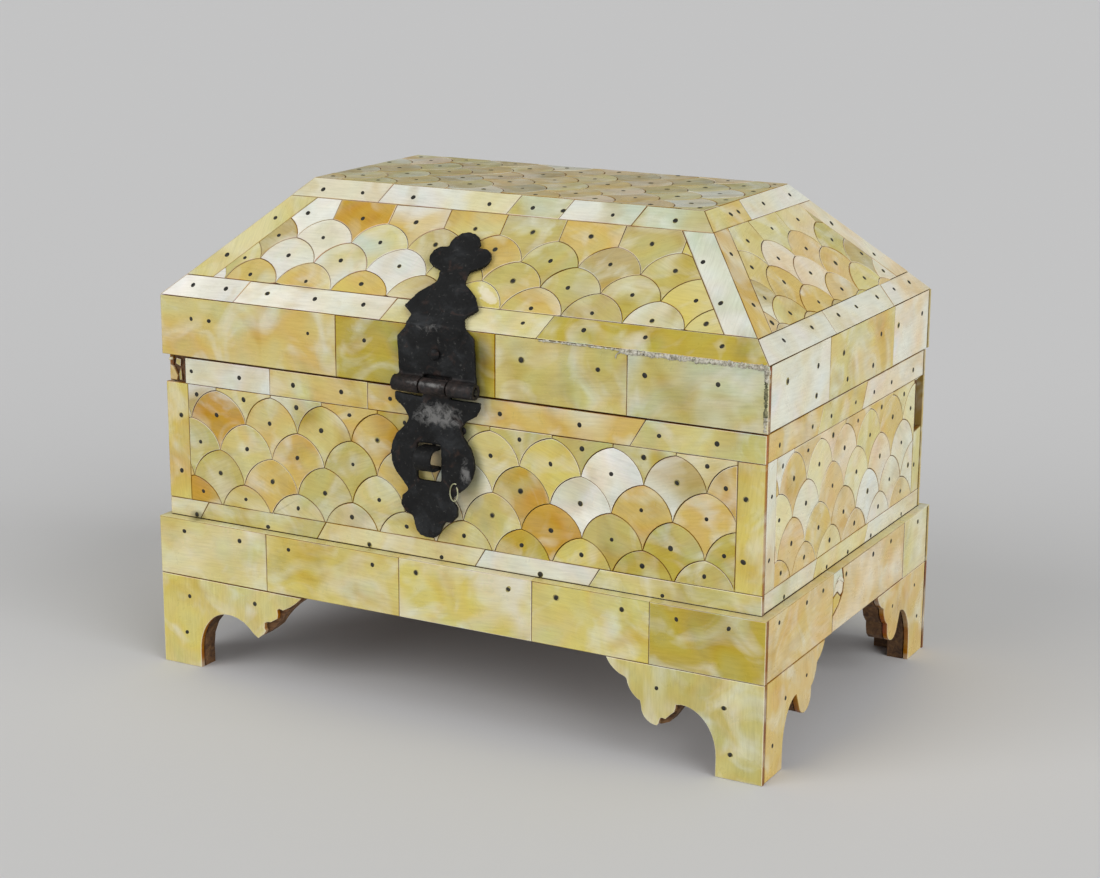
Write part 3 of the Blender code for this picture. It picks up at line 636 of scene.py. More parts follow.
def shell_finish():
    """Mother of pearl: two clouded tints, fine growth lines, a pearly gloss, grime, and iron stain with
    painted shade round the hasp.
    """
    made, tree, shader = new_finish("mother_of_pearl", 0.3)
    tint = add_node(tree, "ShaderNodeAttribute", attribute_name="tint").outputs["Color"]
    second = add_node(tree, "ShaderNodeAttribute", attribute_name="second_tint").outputs["Color"]
    grain = add_node(tree, "ShaderNodeUVMap", uv_map="grain").outputs["UV"]
    places = add_node(tree, "ShaderNodeTexCoord").outputs["Object"]
    clouds = ramp_of(tree, noise_of(tree, grain, 0.42, 1.5, 0.6), [(0.38, grey(0)), (0.62, grey(1))])
    colour = blend_of(tree, clouds, tint, second)
    veil = ramp_of(tree, noise_of(tree, grain, 0.6, 2.5, 1.6), [(0.48, grey(0)), (0.76, grey(0.6))])
    colour = blend_of(tree, veil, colour, paint(226, 228, 216))
    warm = ramp_of(tree, noise_of(tree, grain, 0.5, 2.0, 1.0), [(0.52, grey(0)), (0.78, grey(0.55))])
    colour = blend_of(tree, warm, colour, paint(220, 192, 112), "MULTIPLY")
    stretched = add_node(tree, "ShaderNodeMapping", {"Vector": grain, "Scale": (0.7, 7.0, 1.0)})
    lines = noise_of(tree, stretched.outputs["Vector"], 2.2, 4.0, 0.6, 0.65)
    fine = ramp_of(tree, lines, [(0.30, grey(0.89)), (0.55, grey(1.0)), (0.75, grey(1.05))])
    colour = blend_of(tree, 1.0, colour, fine, "MULTIPLY")
    colour = add_node(tree, "ShaderNodeBrightContrast", {"Color": colour, "Contrast": 0.09}).outputs["Color"]
    dirt = ramp_of(tree, noise_of(tree, places, 55.0, 5.0, 0.3, 0.6), [(0.58, grey(0)), (0.82, grey(0.4))])
    colour = blend_of(tree, dirt, colour, paint(168, 166, 120), "MULTIPLY")
    # Iron stain and painted shade round the hasp
    for centre, radii, strength in hasp_stains_and_shade:
        away = vector_math(tree, "SUBTRACT", places, centre)["Vector"]
        scaled = vector_math(tree, "MULTIPLY", away, [1 / r for r in radii])["Vector"]
        length = vector_math(tree, "LENGTH", scaled)["Value"]
        near = ramp_of(tree, length, [(0.35, grey(strength)), (1.0, grey(0))])
        colour = blend_of(tree, near, colour, paint(112, 116, 62), "MULTIPLY")
    near = ramp_of(tree, flake_share(tree, places), [(0.35, grey(0.8)), (0.86, grey(0.55)), (1.0, grey(0))])
    colour = blend_of(tree, near, colour, paint(238, 230, 206))
    tree.links.new(colour, shader.inputs["Base Color"])
    gloss = ramp_of(tree, noise_of(tree, grain, 1.7, 3.0, 0.4), [(0.3, grey(0.22)), (0.7, grey(0.42))])
    tree.links.new(gloss, shader.inputs["Roughness"])
    waves = {"Strength": 0.5, "Distance": 0.0011, "Height": noise_of(tree, grain, 0.8, 1.0, 0.3)}
    waves = add_node(tree, "ShaderNodeBump", waves)
    bump = add_bump(tree, shader, 0.25, 0.00015, lines)
    tree.links.new(waves.outputs[0], bump.inputs["Normal"])
    shader.inputs["IOR"].default_value = 1.56
    shader.inputs["Specular IOR Level"].default_value = 0.6
    shader.inputs["Thin Film IOR"].default_value = 1.4
    film = math_of(tree, "MULTIPLY", noise_of(tree, grain, 0.7, 1.0), 540.0)
    tree.links.new(film, shader.inputs["Thin Film Thickness"])
    return made


# Where the end boards of the case begin, as a share of the way from the flat top's edge to the lid's
end_boards = 0.73


def wood_finish():
    """Dark old wood, dry and unpolished, its grain along each board."""
    made, tree, shader = new_finish("old_wood", 0.75)
    places = add_node(tree, "ShaderNodeTexCoord").outputs["Object"]
    origin = (top_half.x, top_half.y, lid_level)
    spans = (1 / (lid_half.x - top_half.x), 1 / (lid_half.y - top_half.y), 1.0)
    apart = vector_math(tree, "ABSOLUTE", places)["Vector"]
    apart = vector_math(tree, "SUBTRACT", apart, origin)["Vector"]
    apart = vector_math(tree, "MULTIPLY", apart, spans)["Vector"]
    x, y, z = add_node(tree, "ShaderNodeSeparateXYZ", {"Vector": apart}).outputs
    in_lid = math_of(tree, "GREATER_THAN", z, 0.0)
    for first, second in ((x, 0.02), (x, y)):
        in_lid = math_of(tree, "MULTIPLY", in_lid, math_of(tree, "GREATER_THAN", first, second))
    is_end = math_of(tree, "MAXIMUM", math_of(tree, "GREATER_THAN", x, end_boards), in_lid)
    along = add_node(tree, "ShaderNodeMapping", {"Vector": places, "Scale": (9.0, 130.0, 130.0)}).outputs[0]
    across = add_node(tree, "ShaderNodeMapping", {"Vector": places, "Scale": (130.0, 9.0, 130.0)}).outputs[0]
    figure = noise_of(tree, blend_of(tree, is_end, along, across), 4.0, 6.0, 1.2, 0.6)
    stops = [(0.3, paint(66, 42, 24)), (0.5, paint(112, 78, 46)), (0.7, paint(150, 112, 70))]
    colour = ramp_of(tree, figure, stops)
    stain = ramp_of(tree, noise_of(tree, places, 30.0, 3.0, 0.5), [(0.35, grey(0.55)), (0.65, grey(1.0))])
    tree.links.new(blend_of(tree, 1.0, colour, stain, "MULTIPLY"), shader.inputs["Base Color"])
    add_bump(tree, shader, 0.5, 0.0003, figure)
    return made


def iron_finish():
    """Black iron with grey worn places, a painted highlight along the top of the hasp's barrel, brown rust in
    its pits and a dull gloss.
    """
    made, tree, shader = new_finish("black_iron", 0.6, 0.15)
    shader.inputs["Specular IOR Level"].default_value = 0.28
    places = add_node(tree, "ShaderNodeTexCoord").outputs["Object"]
    patches = noise_of(tree, places, 130.0, 4.0, 0.6, 0.6)
    pits = noise_of(tree, places, 900.0, 4.0, 0.2, 0.7)
    stops = [(0.34, paint(8, 8, 8)), (0.56, paint(18, 19, 20)), (0.74, paint(42, 44, 46))]
    colour = ramp_of(tree, patches, stops)
    rust = ramp_of(tree, noise_of(tree, places, 260.0, 3.0, 0.8), [(0.60, grey(0)), (0.74, grey(0.5))])
    colour = blend_of(tree, rust, colour, paint(64, 44, 36))
    speck = ramp_of(tree, pits, [(0.60, grey(0)), (0.72, grey(0.4))])
    colour = blend_of(tree, speck, colour, paint(112, 110, 106))
    mottled = noise_of(tree, places, 520.0, 4.0, 0.5, 0.7)
    mottled = ramp_of(tree, mottled, [(0.42, grey(0.15)), (0.62, grey(0.9))])
    brown = add_node(tree, "ShaderNodeAttribute", attribute_name="brown").outputs["Fac"]
    brown = math_of(tree, "MULTIPLY", brown, mottled)
    colour = blend_of(tree, brown, colour, paint(66, 54, 50))
    # Grey worn places, and along the barrel's top a painted highlight in the same grey
    bare_and_highlight = add_node(tree, "ShaderNodeAttribute", attribute_name="bare_and_highlight").outputs["Fac"]
    rubbed_and_highlight = math_of(tree, "MULTIPLY", bare_and_highlight, noise_of(tree, places, 430.0, 7.0, 0.7, 0.72))
    rubbed_and_highlight = ramp_of(tree, rubbed_and_highlight, [(0.27, grey(0)), (0.42, grey(0.75))])
    colour = blend_of(tree, rubbed_and_highlight, colour, paint(128, 127, 125))
    tree.links.new(colour, shader.inputs["Base Color"])
    gloss = ramp_of(tree, patches, [(0.3, grey(0.72)), (0.7, grey(0.5))])
    tree.links.new(gloss, shader.inputs["Roughness"])
    add_bump(tree, shader, 0.55, 0.0002, pits)
    return made


def plain_finish(name, low, high, roughness, scale, metallic=0.0):
    """A small mixed finish between two colours."""
    made, tree, shader = new_finish(name, roughness, metallic)
    places = add_node(tree, "ShaderNodeTexCoord").outputs["Object"]
    spread = noise_of(tree, places, scale, 4.0, 0.3, 0.6)
    colour = ramp_of(tree, spread, [(0.36, paint(*low)), (0.64, paint(*high))])
    tree.links.new(colour, shader.inputs["Base Color"])
    add_bump(tree, shader, 0.5, 0.0002, spread)
    return made


shell = shell_finish()
wood = wood_finish()
iron = iron_finish()
pin_metal = plain_finish("pin_iron", (20, 19, 14), (50, 48, 40), 0.6, 420.0, 0.2)
pin_stain = plain_finish("pin_stain", (104, 94, 48), (168, 156, 92), 0.6, 300.0)
filler = plain_finish("old_filler", (142, 136, 116), (214, 210, 196), 0.85, 900.0)
dark_filler = plain_finish("dirty_filler", (62, 66, 44), (142, 138, 104), 0.9, 700.0)
wire_metal = plain_finish("pale_wire", (134, 134, 100), (196, 194, 158), 0.45, 500.0, 0.3)


# The plates of the box, the plinth and the lid
def side_set(side):
    """What each face needs to know of its side: its axis, the reach to it, and how its ends are joined."""
    lengthwise = side in ("front", "back")
    axis = 0 if lengthwise else 1
    return lengthwise, axis, 1 - axis, 0.0 if lengthwise else corner_set_back


body_rows = {
    "front": {
        "bottom": (
            cuts(0.6, -86.5, -43.3, 11.5, 48.4),
            ["cream", "khaki straw", "straw cream", "milk pearl", "straw khaki"],
        ),
        "bottom_pins": spots(1.0, -89.5, -62.8, -26.3, -1.4, 31.3, 69.7),
        "top": (
            cuts(0.0, -91.9, -60.8, -26.1) + cuts(0.6, 61.4),
            ["honey", "pearl milk", "straw honey", "milk honey", "straw khaki"],
        ),
        "top_pins": spots(46.2, -89.6, -71.8, -52.3, -35.2, -18.3, 18.2, 43.5, 67.9, 85.1),
        "lost": (0,),
        "stiles": ("yellow honey", "straw yellow"),
        "stile_pins": spots(32.0, -94.1, 93.9) + spots(14.4, -94.7, 93.6),
    },
    "right": {
        "bottom": (cuts(0.5, -24, 16), ["milk sea", "cream straw", "pearl milk"]),
        "bottom_pins": spots(1.0, -46.2, -15.3, 1.0, 19.6, 45.5),
        "top": (cuts(0.5, -23.4, 10.2), ["honey tan", "straw honey", "milk rose"]),
        "top_pins": spots(45.6, -52.5, -29.5, -15.7, 2.9, 17.6, 32.1, 50.8),
        "stiles": ("pearl milk", "straw honey"),
        "stile_pins": spots(32.3, -56.8) + spots(14.6, -57.6, 55.1),
    },
    "back": {
        "bottom": (cuts(0.5, -50, 4, 52), ["straw", "cream honey", "khaki", "straw cream"]),
        "top": (cuts(0.5, -56, -6, 50), ["cream straw", "honey straw", "milk cream", "straw"]),
        "stiles": ("straw", "cream honey"),
        "stile_pins": spots(32.0, -94.1, 94.3) + spots(14.0, -94.7, 94.6),
    },
    "left": {
        "bottom": (cuts(0.5, -17, 24), ["cream", "straw khaki", "straw"]),
        "top": (cuts(0.5, -11, 22), ["straw", "milk cream", "honey straw"]),
        "stiles": ("yellow straw", "cream"),
        "stile_pins": spots(31.0, -55.8, 55.6) + spots(15.0, -56.0, 55.8),
    },
}
body_phase = {"front": -0.0037, "right": -0.0040, "back": 0.0040, "left": 0.0059}
body_seeds = {"front": 11, "right": 23, "back": 31, "left": 47}


def stack_rows(skin, outline, field, rows):
    """The straight plates round a field: a rail below and above it, and a stile at each end."""
    level = Vector((1, 0))
    bottom = clip(outline, field[1], -level)
    top = clip(outline, field[3], level)
    sides = clip(clip(outline, field[0], level), field[2], -level)
    joints, colours = rows["bottom"]
    skin.add_row(in_order(bottom), joints, colours, rows.get("bottom_pins"))
    joints, colours = rows["top"]
    skin.add_row(in_order(top), joints, colours, rows.get("top_pins"), rows.get("lost", ()))
    left = clip(sides, field[0], (field[3] - field[0]).normalized())
    right = clip(sides, field[2], (field[1] - field[2]).normalized())
    for piece, names in ((left, rows["stiles"][0]), (right, rows["stiles"][1])):
        pieces = [piece]
        if piece is right and skin.name == "body_right_shell":
            cut_low, cut_high = (Vector((field[2].x, level)) for level in lost_stile)
            ragged = Vector((1, 0.12)).normalized()
            pieces = [clip(piece, cut_low, -ragged), clip(piece, cut_high, ragged)]
        for shape in pieces:
            skin.add_plate(shape, *pair_of(names), upright + skin.rng.uniform(-0.1, 0.1))
    for x, y in rows["stile_pins"]:
        skin.add_pin(x, y)


def in_order(points):
    """The outline of a rail started at its bottom left corner."""
    first = min(range(len(points)), key=lambda i: points[i].x + points[i].y * 3)
    return points[first:] + points[:first]


# Between which levels the right side's back stile is lost
lost_stile = (0.0253, 0.0417)

# The scales of the front whose tints stand out in the photograph, by row and column
front_accents = {
    (0, -3): "honey straw", (0, 3): "white pearl", (0, 5): "honey amber",
    (1, -4): "honey straw", (1, -1): "straw honey", (1, 2): "white pearl", (1, 3): "honey",
    (1, 4): "honey", (1, 5): "khaki olive",
    (2, 2): "honey amber", (2, 3): "khaki", (2, 4): "olive khaki", (2, 5): "khaki olive",
    (3, 3): "khaki olive", (3, 4): "olive khaki",
}


def add_body_shell(side):
    lengthwise, axis, other, set_back = side_set(side)
    rows = body_rows[side]
    half = body_half[axis] - set_back
    outline = trapezoid(half, half, seam_level - body_level)
    stile = body_stile - set_back
    field = inset_outline(outline, body_rails[0], stile, body_rails[1], stile)
    place = face_frame(turns[side], body_half[other], body_level)
    skin = Skin(f"body_{side}_shell", "base", place, outline, None, body_seeds[side])
    stack_rows(skin, outline, field, rows)
    accents = front_accents if side == "front" else None
    if side == "front":
        for points, names, sunk in corner_bits:
            skin.add_plate(in_mm(points), *pair_of(names), 1.2, plate, sunk * mm)
    mix = "body" if lengthwise else "side"
    skin.add_scales(field, body_step, 0.0013, body_phase[side], mix, accents)
    skin.finish([f"body_{side}_border", f"body_{side}_scales"])


wall_rows = {
    "front": (cuts(0.0, -36.5, 16.9, 58.2), ["straw honey", "olive", "khaki straw", "khaki sea"]),
    "right": (cuts(0.0, -19.2, 31.0), ["pearl milk", "straw honey", "pearl rose"]),
    "back": (cuts(0.0, -46, 4, 56), ["straw", "cream honey", "khaki straw", "cream"]),
    "left": (cuts(0.0, -25, 20), ["cream straw", "straw", "honey straw"]),
}
wall_pins = {
    "front": spots(11.9, -88.5, -81.9, -46.1, -26.5, 25.4, 49.4, 63.6, 85.3),
    "right": spots(11.9, -49.6, -28.2, -9.3, 20, 34.5, 54.8) + spots(3.6, -28.9, -5.8, 14.3),
}
plinth_rows = {
    "front": (
        cuts(0.0, -61.9, -14.6, 29.8, 67.0),
        ["cream straw", "straw yellow", "milk yellow", "yellow straw", "olive"],
    ),
    "right": (cuts(0.0, -15.8, 42.2), ["honey tan", "tan straw", "straw milk"]),
    "back": (cuts(0.0, -58, -12, 39), ["straw", "cream yellow", "honey straw", "cream"]),
    "left": (cuts(0.0, -19, 22), ["straw", "cream honey", "straw khaki"]),
}
plinth_pins = {
    "front": spots(14.5, -92.6, -71.7, -53.6, -23.7, -8.6, 22.3, 37.8, 58.5, 75.3, 91),
    "right": spots(15.3, -55.2, -35.8, -23.8, -6.2, 15.5, 30.4, 54),
}


# The middle plate of the plinth's right side, broken at its upper left corner, and the bits left there.
# Each has its corners, its tints and how deep it is sunk, in millimetres
shattered = [
    (
        [
            (-15.6, 0.1), (42.0, 0.1), (42.0, 18.1), (-9.0, 18.1),
            (-7.6, 13.6), (-8.2, 10.2), (-11.5, 7.2), (-15.6, 5.0),
        ],
        "rose tan",
        0.0,
    ),
    ([(-15.6, 5.3), (-11.6, 7.5), (-9.9, 9.5), (-12.5, 11.4), (-15.6, 10.4)], "yellow honey", 0.05),
    (
        [
            (-15.5, 10.7), (-12.4, 11.7), (-10.0, 9.9), (-8.5, 10.5),
            (-8.0, 13.4), (-11.0, 15.1), (-13.8, 14.0),
        ],
        "rose tan",
        0.12,
    ),
    (
        [(-15.6, 11.3), (-13.9, 14.3), (-11.1, 15.5), (-8.1, 14.0), (-9.3, 18.0), (-15.6, 18.0)],
        "sea khaki",
        0.08,
    ),
    ([(-13.2, 15.2), (-10.9, 15.8), (-8.6, 14.3), (-8.4, 13.8), (-11.0, 15.2)], "white pearl", 0.0),
    ([(-12.4, 12.6), (-11.5, 12.5), (-11.6, 13.3)], "pearl", 0.0),
    ([(-14.6, 6.4), (-13.4, 6.9), (-14.2, 7.6)], "white milk", 0.0),
]

# What is left of the plate at the upper left corner of the front
corner_bits = [
    ([(-98.5, 42.6), (-96.0, 42.5), (-95.5, 44.0), (-97.0, 46.9), (-98.4, 47.6)], "honey amber", 0.9),
    ([(-98.9, 48.4), (-97.0, 48.8), (-97.2, 49.8), (-98.7, 49.5)], "pearl milk", 0.8),
    ([(-95.2, 42.6), (-94.2, 42.7), (-94.5, 46.5), (-95.4, 44.6)], "dusk olive", 1.2),
    ([(-96.5, 47.6), (-94.6, 46.9), (-94.4, 49.2), (-96.3, 49.6)], "dusk khaki", 1.25),
]


def add_straight_rows(side):
    """The plates of the lid's wall and of the plinth, one row on each."""
    lengthwise, axis, other, set_back = side_set(side)
    seed = body_seeds[side]
    half = lid_half[axis] - set_back
    outline = trapezoid(half, half, wall_top_level - lid_level)
    pitch = front_pitch if lengthwise else side_pitch
    leans = (0, 0, plate * math.tan((upright - pitch) / 2), 0)
    place = face_frame(turns[side], lid_half[other], lid_level)
    skin = Skin(f"lid_{side}_wall_shell", "lid", place, outline, leans, seed + 1)
    skin.add_row(outline, *wall_rows[side], wall_pins.get(side))
    skin.finish([f"lid_{side}_wall_plates"])
    half = plinth_half[axis] - set_back
    outline = trapezoid(half, half, plinth_top)
    place = face_frame(turns[side], plinth_half[other], plinth_level)
    skin = Skin(f"plinth_{side}_shell", "base", place, outline, None, seed + 2)
    lost = ()
    if side == "right":
        lost = (1,)
        for points, names, sunk in shattered:
            skin.add_plate(in_mm(points), *pair_of(names), 0.2, plate, sunk * mm)
    joints, colours = plinth_rows[side]
    pieces = cut_row(outline, joints)
    pins = plinth_pins.get(side) or rule_pins(pieces, plinth_pin_level, skin.rng)
    skin.add_row(outline, joints, colours, pins, lost)
    for piece, names in zip(pieces, colours):
        low = min(p.x for p in piece) + tight_gap
        high = max(p.x for p in piece) - tight_gap
        skin.add_ledge(low, high, plinth_top, plinth_half[axis], *pair_of(names))
    skin.finish([f"plinth_{side}_plates"])


slope_rows = {
    "front": {
        "bottom": (
            cuts(0.35, -71.7, -19.9, 31.4),
            # The white of the first two plates is partly their pearl and partly a painted reflection of the
            # light on the slope
            ["white pearl", "white milk", "straw cream", "olive"],
        ),
        "bottom_pins": spots(4.5, -89.7, -77.5, -62.4, -45.5, -28.6, 24.2, 43.3, 62.1, 84.8),
        "top": (
            cuts(0.35, -38.1, 5.9, 23.0, 46.2),
            ["milk", "pearl cream", "khaki sea", "sea pearl", "sea khaki"],
        ),
        "top_pins": spots(43.0, -60.1, -45.9, -28.1, -2.1, 12.3, 22.2, 38.1, 57.6),
        "stiles": ("straw cream", "pearl sea"),
        "stile_pins": in_mm([(-72.1, 31.2), (-82.9, 16.4), (70.4, 30.3), (79.9, 17.8)]),
    },
    "right": {
        "bottom": (cuts(0.3, -13.8, 31.4), ["pearl milk", "milk pearl", "pearl rose"]),
        "bottom_pins": spots(4.9, -45, -25.4, -5.9, 7.9, 24.5, 38.6, 51.6),
        "top": (cuts(0.3, -7.5), ["straw honey", "pearl milk"]),
        "top_pins": spots(45.0, -17.4, -12.3, 5.3, 24.7),
        "stiles": ("amber honey", "milk rose"),
        "stile_pins": in_mm([(-34.8, 33.6), (-45.1, 17.5), (35.1, 31.8), (44.7, 17.5)]),
    },
    "back": {
        "bottom": (cuts(0.35, -56, -2, 48), ["straw", "cream", "straw honey", "cream khaki"]),
        "top": (cuts(0.35, -20, 20), ["cream", "straw", "milk"]),
        "stiles": ("cream", "straw honey"),
        "stile_pins": in_mm([(-72, 31), (-83, 16), (71, 31), (82, 17)]),
    },
    "left": {
        "bottom": (cuts(0.3, -21, 20), ["straw", "cream", "honey straw"]),
        "top": (cuts(0.3, 2), ["cream", "straw"]),
        "stiles": ("straw cream", "cream"),
        "stile_pins": in_mm([(-35, 33), (-45, 17), (35, 32), (45, 17)]),
    },
}
slope_accents = {
    (0, -3): "white pearl", (0, -2): "amber honey", (0, 1): "khaki dusk", (0, 2): "honey khaki",
    (0, 3): "dusk khaki",
    (1, -3): "white milk", (1, -2): "sea straw", (1, 0): "honey straw", (1, 1): "khaki",
    (1, 2): "dusk honey", (1, 3): "khaki olive",
    (2, -2): "pearl straw", (2, 1): "khaki honey", (2, 2): "dusk khaki", (2, 3): "olive khaki",
    (3, 1): "honey khaki", (3, 2): "khaki dusk",
}
# The two pins that the hasp's finial would hide, each with how far it is moved
finial_pins = [
    (Vector((-12.8, 26.7)) * mm, Vector((-1.0, 0.7)) * mm),
    (Vector((6.0, 26.4)) * mm, Vector((0.4, 1.7)) * mm),
]
slope_phase = {"front": -0.0038, "right": -0.0015, "back": 0.0030, "left": 0.0015}


def add_slope_shell(side):
    lengthwise, axis, other, _ = side_set(side)
    pitch = front_pitch if lengthwise else side_pitch
    length = front_slope if lengthwise else side_slope
    outline = trapezoid(lid_half[axis], top_half[axis], length)
    field = inset_outline(outline, slope_rails[0], slope_hip_strip, slope_rails[1], slope_hip_strip)
    front_normal = Vector((0, -math.sin(front_pitch), math.cos(front_pitch)))
    side_normal = Vector((math.sin(side_pitch), 0, math.cos(side_pitch)))
    hip = plate * math.tan(front_normal.angle(side_normal) / 2)
    leans = (plate * math.tan((upright - pitch) / 2), hip, plate * math.tan(pitch / 2), hip)
    place = face_frame(turns[side], lid_half[other], wall_top_level, pitch)
    skin = Skin(f"lid_{side}_slope_shell", "lid", place, outline, leans, body_seeds[side] + 3)
    stack_rows(skin, outline, field, slope_rows[side])
    mix = "slope" if lengthwise else "side_slope"
    accents = slope_accents if side == "front" else None
    skin.add_scales(field, slope_step, -0.0011, slope_phase[side], mix, accents)
    skin.finish([f"lid_{side}_slope_border", f"lid_{side}_slope_scales"])


def add_top_shell():
    outline = trapezoid(top_half.y, top_half.y, top_half.x * 2)
    across = plate * math.tan(front_pitch / 2)
    along = plate * math.tan(side_pitch / 2)
    place = face_frame(turns["left"], top_half.x, top_level, 0)
    skin = Skin("lid_top_shell", "lid", place, outline, (along, across, along, across), 71)
    skin.add_scales(outline, body_step, 0.0013, 0, "top")
    skin.finish(["lid_top_scales"])


# The plates of the feet
foot_height = 0.0292
foot_reach_front = 0.0484
foot_reach_side = 0.0435
foot_arch_height = 0.0190
foot_drop_tip = 0.0115
foot_leg = 0.0142
foot_joint = 0.00006

# The edges of the broken drop of the front left foot and of the chipped one of the front right,
# in millimetres from the corner
broken_edge = [
    (26.5, 18.95), (28.5, 18.5), (30.8, 17.6), (32.9, 16.0), (34.6, 14.4), (36.1, 13.4), (38.3, 15.0),
    (39.1, 16.2), (38.6, 17.1), (38.7, 18.7), (39.6, 19.2), (41.0, 19.4), (42.3, 20.2), (43.5, 20.9),
    (43.7, 22.2), (43.5, 23.7), (44.3, 24.2), (45.6, 23.9), (46.6, 24.4), (48.1, 25.2), (50.3, 26.8),
    (52.6, 28.9),
]
chipped_edge = [
    (26.4, 18.7), (26.5, 17.6), (26.9, 16.5), (28.1, 15.4), (29.6, 13.9), (30.6, 14.1), (31.2, 13.8),
    (31.7, 12.0),
]


def arc(centre, radius, start, end, parts):
    points = []
    for degrees in steps(start, end, parts + 1):
        angle = math.radians(degrees)
        points.append(Vector((centre[0] + radius * math.cos(angle), centre[1] + radius * math.sin(angle))))
    return points


def swell(start, end, depth, parts):
    along = end - start
    across = Vector((along.y, -along.x)) * depth * 4
    return [start + along * t + across * t * (1 - t) for t in steps(0, 1, parts + 1)]


def foot_outline(reach, start, hand, damage):
    """A bracket foot from its corner inward: the leg, an arch, a drop and two lobes up to the plinth."""
    top = foot_height - foot_joint
    spring = foot_arch_height * 0.3
    arch_half = (reach - foot_leg) * 0.31
    points = [Vector((start, 0)), Vector((foot_leg, 0))]
    for degrees in steps(0, 90, 13):
        angle = math.radians(degrees)
        aside = foot_leg + arch_half * (1 - math.cos(angle))
        points.append(Vector((aside, spring + (foot_arch_height - spring) * math.sin(angle))))
    drop = foot_arch_height - foot_drop_tip
    rest = reach - points[-1].x
    if damage == "broken":
        points += [Vector((x * mm, min(y * mm, top))) for x, y in broken_edge]
    else:
        radius = reach * 0.103
        rise = top - foot_arch_height
        first = 200
        if damage == "chipped":
            points += in_mm(chipped_edge)
            first = 270
        points += arc((reach - rest * 0.685, foot_drop_tip + radius), radius, first, 360, 10)
        step = foot_arch_height - drop * 0.12
        points.append(Vector((reach - rest * 0.458, step)))
        notch = Vector((reach - rest * 0.275, foot_arch_height + rise * 0.465))
        points += swell(Vector((reach - rest * 0.44, step)), notch, 0.11, 6)
        points += swell(notch + Vector((rest * 0.02, rise * 0.04)), Vector((reach, top)), 0.11, 6)
    points.append(Vector((start, top)))
    if hand < 0:
        return [Vector((-p.x, p.y)) for p in reversed(points)]
    return points


foot_pins = {
    "foot_front_left_front_plate": [(-91.5, 22.8), (-66.7, 24.4), (-93, 10.8)],
    "foot_front_right_front_plate": [(69.6, 22.6), (90.1, 20.6), (92.3, 7.4)],
    "foot_front_right_right_plate": [(-34.2, 22.5), (-49.2, 20.7), (-57.5, 9.5)],
    "foot_back_right_right_plate": [(53.4, 23.9), (34.1, 22.7), (56.9, 12.6)],
}
foot_colours = [
    "yellow straw", "straw cream", "khaki straw", "tan honey", "straw", "honey tan", "cream", "straw cream",
]


def add_foot_shells():
    corners = {
        "front_left": (("front", 1, foot_reach_front), ("left", -1, foot_reach_side)),
        "front_right": (("front", -1, foot_reach_front), ("right", 1, foot_reach_side)),
        "back_right": (("back", 1, foot_reach_front), ("right", -1, foot_reach_side)),
        "back_left": (("back", -1, foot_reach_front), ("left", 1, foot_reach_side)),
    }
    damages = {("front_left", "front"): "broken", ("front_right", "front"): "chipped"}
    count = 0
    for corner, boards in corners.items():
        for side, hand, reach in boards:
            _, axis, other, set_back = side_set(side)
            name = f"foot_{corner}_{side}_plate"
            half = plinth_half[axis]
            place = face_frame(turns[side], plinth_half[other], 0)
            outline = foot_outline(reach, set_back, hand, damages.get((corner, side)))
            outline = [p + Vector((-hand * half, 0)) for p in outline]
            skin = Skin(name.replace("_plate", "_shell"), "base", place, None, None, 80 + count)
            skin.add_plate(tidy(outline), *pair_of(foot_colours[count]), upright)
            ends = [(-hand * (half - 9.5 * mm), 21.5 * mm), (-hand * (half - 8.6 * mm), 8.5 * mm)]
            ends.append((-hand * (half - 31 * mm), 23.0 * mm))
            for x, y in foot_pins.get(name) or [(x / mm, y / mm) for x, y in ends]:
                skin.add_pin(x * mm, y * mm)
            skin.finish([name])
            count += 1


